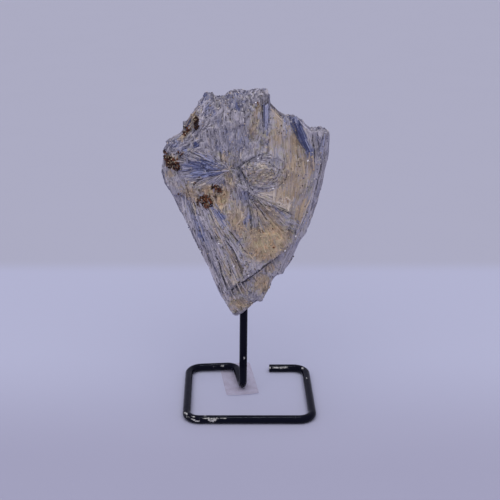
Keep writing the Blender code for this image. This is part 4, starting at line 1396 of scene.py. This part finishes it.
def paint_material(settings):
    """Gloss black paint with a faint waviness, rubbed thin and chipped in places. Steel shows there, and as a
    thin painted highlight along the top of the front rail.
    """
    n = Nodes("black_paint")
    chip = n.attribute("chip")
    place = n.place()
    ripple = n.noise(place, 0.35, 2.0, 0.5)
    pits = n.noise(place, 2.6, 3.0, 0.6)
    torn = n.noise(place, 1.7, 4.0, 0.75, 0.4)
    # Chips and the painted highlight line show the steel colour
    bare_and_glint = n.spread(n.plus(chip, n.swing(torn, 3.0)), 0.7, 0.85)
    bare_and_glint = n.times(bare_and_glint, n.spread(chip, 0.1, 0.3))
    steel_and_glint = n.mix(n.spread(pits, 0.35, 0.65), dimmed(settings.bare_steel_and_glint, 0.3), settings.bare_steel_and_glint)
    dusty = n.mix(n.spread(pits, 0.55, 0.8, 0.0, 0.15), settings.paint, DUST)
    colour = n.mix(bare_and_glint, dusty, steel_and_glint)
    normal = n.bump(pits, 0.00008, 0.3, n.bump(ripple, 0.0006, 0.35))
    rough = n.plus(n.spread(pits, 0.4, 0.75, 0.14, 0.3), n.times(bare_and_glint, 0.25))
    return n.finish(Base_Color=colour, Roughness=rough, Normal=normal, Metallic=n.times(bare_and_glint, 0.25),
                    IOR=1.5, Specular_IOR_Level=0.12, Specular_Tint=(0.76, 0.82, 1.0, 1))


def film_material(settings):
    """Thin milky label film with a faint crinkle, and a painted highlight along its curled front edge."""
    n = Nodes("label_film")
    place = n.place()
    cloud = n.noise(place, 0.18, 3.0, 0.5)
    fibre = n.noise(n.stretch(place, (1.0, 0.4, 1.0)), 2.2, 3.0, 0.6)
    edge = n.attribute("rim")
    colour = n.mix(n.spread(cloud, 0.35, 0.7, 0.0, 0.5), settings.film, dimmed(settings.film, 0.8))
    # A painted highlight along the edges, strongest at the curled front edge
    colour = n.mix(n.times(edge, 0.5), colour, FILM_EDGE_HIGHLIGHT)
    normal = n.bump(n.plus(cloud, n.times(fibre, 0.3)), 0.0005, 0.4)
    rough = n.spread(fibre, 0.3, 0.7, 0.35, 0.55)
    thinner, thicker = 0.7 * settings.film_cover, 1.3 * settings.film_cover
    cover = n.plus(n.spread(cloud, 0.3, 0.7, thinner, thicker), n.times(edge, 0.3))
    return n.finish(Base_Color=colour, Roughness=rough, Normal=normal, Alpha=cover, IOR=1.48)


def floor_material(settings):
    """Plain pale floor with painted shade darkening it in front, darker far away, and a faint unevenness."""
    n = Nodes("floor")
    place = n.place(1.0)
    parts = n.add("ShaderNodeSeparateXYZ", {0: place})
    right, depth = parts.outputs[:2]
    reach = n.maths("MAXIMUM", n.maths("ABSOLUTE", right), n.maths("ABSOLUTE", depth))
    cloud = n.noise(place, 9.0, 2.0, 0.5)
    # The floor is darker in front: painted shade
    colour = n.mix(n.spread(depth, -0.09, 0.06), settings.floor_front_shade, settings.floor)
    colour = n.mix(n.spread(reach, 0.205, 0.24), colour, settings.floor_far)
    colour = n.mix(n.spread(cloud, 0.3, 0.8, 0.0, 0.06), colour, FLOOR_CLOUD)
    return n.finish(Base_Color=colour, Roughness=0.6, Normal=n.bump(cloud, 0.0004, 0.15),
                    Specular_IOR_Level=0.25)


def rounded_route(corners, degrees_each):
    """The bar's centre line: straight runs joined by arcs, with a point every few degrees."""
    points = [Vector(corners[0][:3])]
    for before, corner, after in zip(corners, corners[1:], corners[2:]):
        here = Vector(corner[:3])
        into = (here - Vector(before[:3])).normalized()
        out = (Vector(after[:3]) - here).normalized()
        turn = into.angle(out)
        start = here - into * corner[3] * math.tan(turn / 2)
        axis = into.cross(out).normalized()
        centre = start + axis.cross(into) * corner[3]
        steps = max(2, round(math.degrees(turn) / degrees_each))
        for step in range(steps + 1):
            points.append(centre + Matrix.Rotation(turn * step / steps, 3, axis) @ (start - centre))
    points.append(Vector(corners[-1][:3]))
    return points


def even_line(points, step):
    """The line again with no two neighbours further apart than the step."""
    line = [points[0]]
    for start, end in zip(points, points[1:]):
        count = max(1, math.ceil((end - start).length / step))
        line += [start.lerp(end, k / count) for k in range(1, count + 1)]
    return line


def bar_mesh(settings):
    """The bent bar as a fine round tube with a chamfered cut end, in metres."""
    line = even_line(rounded_route(STAND_ROUTE, BAR_BEND_DEGREES), BAR_STEP)
    radius = in_mm(settings.bar_diameter) / 2
    direction = (line[1] - line[0]).normalized()
    up = Vector((0, 0, 1))
    last = len(line) - 1
    frames = []
    for k, point in enumerate(line):
        tangent = (line[min(k + 1, last)] - line[max(k - 1, 0)]).normalized()
        up = (direction.rotation_difference(tangent) @ up).normalized()
        direction = tangent
        frames.append((point, tangent, up.copy(), radius))
    point, tangent, lift, _ = frames[0]
    frames[0] = (point + tangent * BAR_START_CHAMFER, tangent, lift, radius)
    frames.insert(0, (point, tangent, lift, radius - BAR_START_CHAMFER))
    frames.append(frames[-1][:3] + (radius - BAR_END_CHAMFER,))
    bm = bmesh.new()
    rings = []
    for point, tangent, lift, size in frames:
        across = tangent.cross(lift)
        ring = []
        for s in range(BAR_SIDES):
            angle = math.tau * s / BAR_SIDES
            ring.append(bm.verts.new(point + (lift * math.cos(angle) + across * math.sin(angle)) * size))
        rings.append(ring)
    for ring, following in zip(rings, rings[1:]):
        for s in range(BAR_SIDES):
            j = (s + 1) % BAR_SIDES
            bm.faces.new((ring[s], ring[j], following[j], following[s]))
    bm.faces.new(rings[0])
    bm.faces.new(rings[-1])
    bmesh.ops.recalc_face_normals(bm, faces=bm.faces)
    mesh = bpy.data.meshes.new("stand_bar")
    bm.to_mesh(mesh)
    bm.free()
    return mesh


def wear_bar(mesh):
    """Chip the paint and lay the painted highlight line: both sink a little under the paint round them."""
    points, normals = read_points(mesh)
    chip = np.zeros(len(points))
    for start, end, radius in PAINT_CHIPS_AND_GLINTS:
        start, run = np.array(start), np.array(end) - np.array(start)
        share = np.clip((points - start) @ run / (run @ run), 0, 1)
        distance = np.linalg.norm(points - start - share[:, None] * run, axis=1)
        chip = np.maximum(chip, 1 - ramp(0.3 * radius, radius + 0.45, distance))
    ragged = chip * (0.95 + 0.35 * soft_noise(points, 1.2, 101))
    points = (points - normals * 0.05 * ramp(0.4, 0.8, ragged)[:, None]) * MM
    mesh.vertices.foreach_set("co", points.ravel())
    store(mesh, "chip", "FLOAT", ragged)
    mesh.shade_smooth()
    mesh.set_sharp_from_angle(angle=math.radians(35))
    mesh.update()


def label_mesh(settings):
    """The film: rounded corners, a front edge that curls up, and a slight wave, in metres."""
    half_width, length = in_mm(settings.label_width) / 2, in_mm(settings.label_length)
    bm = bmesh.new()
    rim = bm.verts.layers.float.new("rim")
    layers = []
    for level in (0, 1):
        grid = []
        for r in range(LABEL_ROWS + 1):
            share = r / LABEL_ROWS
            from_front, from_back = share * length, (1 - share) * length
            narrow = 1.0 - 0.10 * max(0.0, 1 - from_front / 2.2) ** 2
            narrow -= 0.08 * max(0.0, 1 - from_back / 2.0) ** 2
            curl = max(0.0, 1 - from_front / LABEL_CURL_LENGTH)
            line = []
            for c in range(LABEL_COLUMNS + 1):
                side = 2 * c / LABEL_COLUMNS - 1
                x = side * half_width * narrow
                y = from_front + 0.9 * side * side * max(0.0, 1 - share * 8)
                wave = 0.05 * math.sin(x * 0.5) * math.sin(y * 0.23) ** 2
                z = LABEL_CURL_HEIGHT * curl * curl + wave + 0.06
                vert = bm.verts.new((x, y, z + level * LABEL_THICKNESS))
                # The rim marks the film's edges, most the front one, where the material paints a highlight and
                # thickens the film
                other_edges = min(from_back, (1 - abs(side)) * half_width)
                vert[rim] = max(1 - from_front / 1.3, 0.08 * (1 - other_edges / 0.8), 0.0)
                line.append(vert)
            grid.append(line)
        layers.append(grid)
    low, high = layers
    for r in range(LABEL_ROWS):
        for c in range(LABEL_COLUMNS):
            bm.faces.new((low[r][c], low[r + 1][c], low[r + 1][c + 1], low[r][c + 1]))
            bm.faces.new((high[r][c], high[r][c + 1], high[r + 1][c + 1], high[r + 1][c]))
    for r in range(LABEL_ROWS):
        bm.faces.new((low[r][0], high[r][0], high[r + 1][0], low[r + 1][0]))
        bm.faces.new((low[r][-1], low[r + 1][-1], high[r + 1][-1], high[r][-1]))
    for c in range(LABEL_COLUMNS):
        bm.faces.new((low[0][c], low[0][c + 1], high[0][c + 1], high[0][c]))
        bm.faces.new((low[-1][c], high[-1][c], high[-1][c + 1], low[-1][c + 1]))
    bmesh.ops.recalc_face_normals(bm, faces=bm.faces)
    turn = Matrix.Rotation(math.radians(LABEL_TURN_DEGREES), 4, "Z")
    place = Matrix.Translation(LABEL_FRONT) @ turn
    bmesh.ops.transform(bm, matrix=Matrix.Scale(MM, 4) @ place, verts=bm.verts)
    mesh = bpy.data.meshes.new("label")
    bm.to_mesh(mesh)
    bm.free()
    mesh.shade_smooth()
    mesh.set_sharp_from_angle(angle=math.radians(40))
    return mesh


class KYANITE_OT_grow_stone(bpy.types.Operator):
    """Grow the stone's surface, its blades, garnets, crumbs and bright flakes."""

    bl_idname = "kyanite.grow_stone"
    bl_label = "Grow stone"

    def execute(self, context):
        settings = context.scene.kyanite_stone
        skin = StoneSkin(settings)
        stone = kyanite_material(settings)
        blades = grow_blades(skin, settings.front_blades, True, BLADE_SEEDS[0])
        grow_named_laths(skin, blades)
        grow_partings(skin, blades)
        other_blades = grow_blades(skin, settings.other_blades, False, BLADE_SEEDS[1])
        grow_splinters(skin, other_blades)
        garnets = grow_garnets(skin)
        grains = grow_grains(skin, settings.grain_count)
        flakes = grow_glint_flakes(skin)
        body = skin.finish()
        body.materials.append(stone)
        add_piece("kyanite_body", body, STONE)
        garnet = garnet_material(settings)
        for name, growth, material in (
            ("front_blades", blades, stone),
            ("back_blades", other_blades, stone),
            ("garnets", garnets, garnet),
            ("mineral_grains", grains, stone),
            ("glint_flakes", flakes, glint_flake_material(settings)),
        ):
            mesh = growth.mesh(name)
            mesh.materials.append(material)
            add_piece(name, mesh, STONE)
        return {"FINISHED"}


class KYANITE_OT_bend_stand(bpy.types.Operator):
    """Make the painted bar of the stand."""

    bl_idname = "kyanite.bend_stand"
    bl_label = "Bend stand"

    def execute(self, context):
        settings = context.scene.kyanite_stand
        mesh = bar_mesh(settings)
        wear_bar(mesh)
        mesh.materials.append(paint_material(settings))
        add_piece("stand_bar", mesh, STAND)
        return {"FINISHED"}


class KYANITE_OT_lay_label(bpy.types.Operator):
    """Lay the blank film label under the stand's foot."""

    bl_idname = "kyanite.lay_label"
    bl_label = "Lay label"

    def execute(self, context):
        settings = context.scene.kyanite_stand
        mesh = label_mesh(settings)
        mesh.materials.append(film_material(settings))
        add_piece("label", mesh, LABEL)
        return {"FINISHED"}


class KYANITE_OT_set_stage(bpy.types.Operator):
    """Set the floor, the light and the camera."""

    bl_idname = "kyanite.set_stage"
    bl_label = "Set stage"

    def execute(self, context):
        settings = context.scene.kyanite_stage
        scene = context.scene
        bm = bmesh.new()
        bmesh.ops.create_circle(bm, cap_ends=True, segments=96, radius=FLOOR_RADIUS)
        mesh = bpy.data.meshes.new("floor")
        bm.to_mesh(mesh)
        bm.free()
        mesh.materials.append(floor_material(settings))
        floor = bpy.data.objects.new("floor", mesh)
        floor.location.z = -FLOOR_DROP
        scene.collection.objects.link(floor)
        self.light(scene, settings)
        self.aim_camera(scene)
        return {"FINISHED"}

    @staticmethod
    def light(scene, settings):
        """Even light from all sides, a broad soft lamp above the viewer and a narrow one for gloss."""
        world = bpy.data.worlds.new("studio")
        world.use_nodes = True
        sky = world.node_tree.nodes["Background"]
        sky.inputs["Color"].default_value = (0.93, 0.93, 1.2, 1)
        sky.inputs["Strength"].default_value = settings.sky_strength
        scene.world = world
        for name, source, angle, strength in (
            ("soft_sun", (-0.06, -0.36, 1.0), 75.0, settings.sun_strength),
            ("gloss_sun", (0.0, -0.04, 1.0), 5.0, 0.2 * settings.sun_strength),
        ):
            lamp = bpy.data.lights.new(name, "SUN")
            lamp.angle = math.radians(angle)
            lamp.energy = strength
            lamp.color = (1.0, 0.995, 0.955)
            holder = bpy.data.objects.new(name, lamp)
            holder.rotation_euler = Vector(source).to_track_quat("Z", "Y").to_euler()
            holder.visible_diffuse = name != "gloss_sun"
            holder.visible_glossy = name == "gloss_sun"
            scene.collection.objects.link(holder)
        scene.view_settings.view_transform = "Standard"

    @staticmethod
    def aim_camera(scene):
        """The camera stands where the photograph was taken from."""
        lens = bpy.data.cameras.new("camera")
        lens.lens = CAMERA_LENS
        lens.sensor_width = SENSOR_WIDTH
        camera = bpy.data.objects.new("camera", lens)
        camera.location = CAMERA_PLACE
        camera.rotation_euler = (math.radians(90 + CAMERA_PITCH_DEGREES), 0, 0)
        scene.collection.objects.link(camera)
        scene.camera = camera


class KYANITE_PT_panel(bpy.types.Panel):
    """Lists the pieces and their settings."""

    bl_idname = "KYANITE_PT_panel"
    bl_label = "Kyanite on a stand"
    bl_space_type = "VIEW_3D"
    bl_region_type = "UI"
    bl_category = "Kyanite"

    def draw(self, context):
        for group in (context.scene.kyanite_stone, context.scene.kyanite_stand, context.scene.kyanite_stage):
            box = self.layout.box()
            for name in group.__annotations__:
                box.prop(group, name)
        for step in STEPS:
            self.layout.operator(step.bl_idname)


STEPS = [KYANITE_OT_set_stage, KYANITE_OT_grow_stone, KYANITE_OT_bend_stand, KYANITE_OT_lay_label]
GROUPS = {"kyanite_stone": StoneSettings, "kyanite_stand": StandSettings, "kyanite_stage": StageSettings}


def register():
    """Make the settings, the operators and the panel known."""
    for group in GROUPS.values():
        bpy.utils.register_class(group)
    for kind in STEPS + [KYANITE_PT_panel]:
        bpy.utils.register_class(kind)
    for name, group in GROUPS.items():
        setattr(bpy.types.Scene, name, PointerProperty(type=group))


def unregister():
    """Take them away again."""
    for name in GROUPS:
        delattr(bpy.types.Scene, name)
    for kind in [KYANITE_PT_panel] + STEPS[::-1]:
        bpy.utils.unregister_class(kind)
    for group in GROUPS.values():
        bpy.utils.unregister_class(group)


def main():
    """Build the scene."""
    register()
    bpy.ops.kyanite.set_stage()
    bpy.ops.kyanite.grow_stone()
    bpy.ops.kyanite.bend_stand()
    bpy.ops.kyanite.lay_label()


if __name__ == "__main__":
    main()
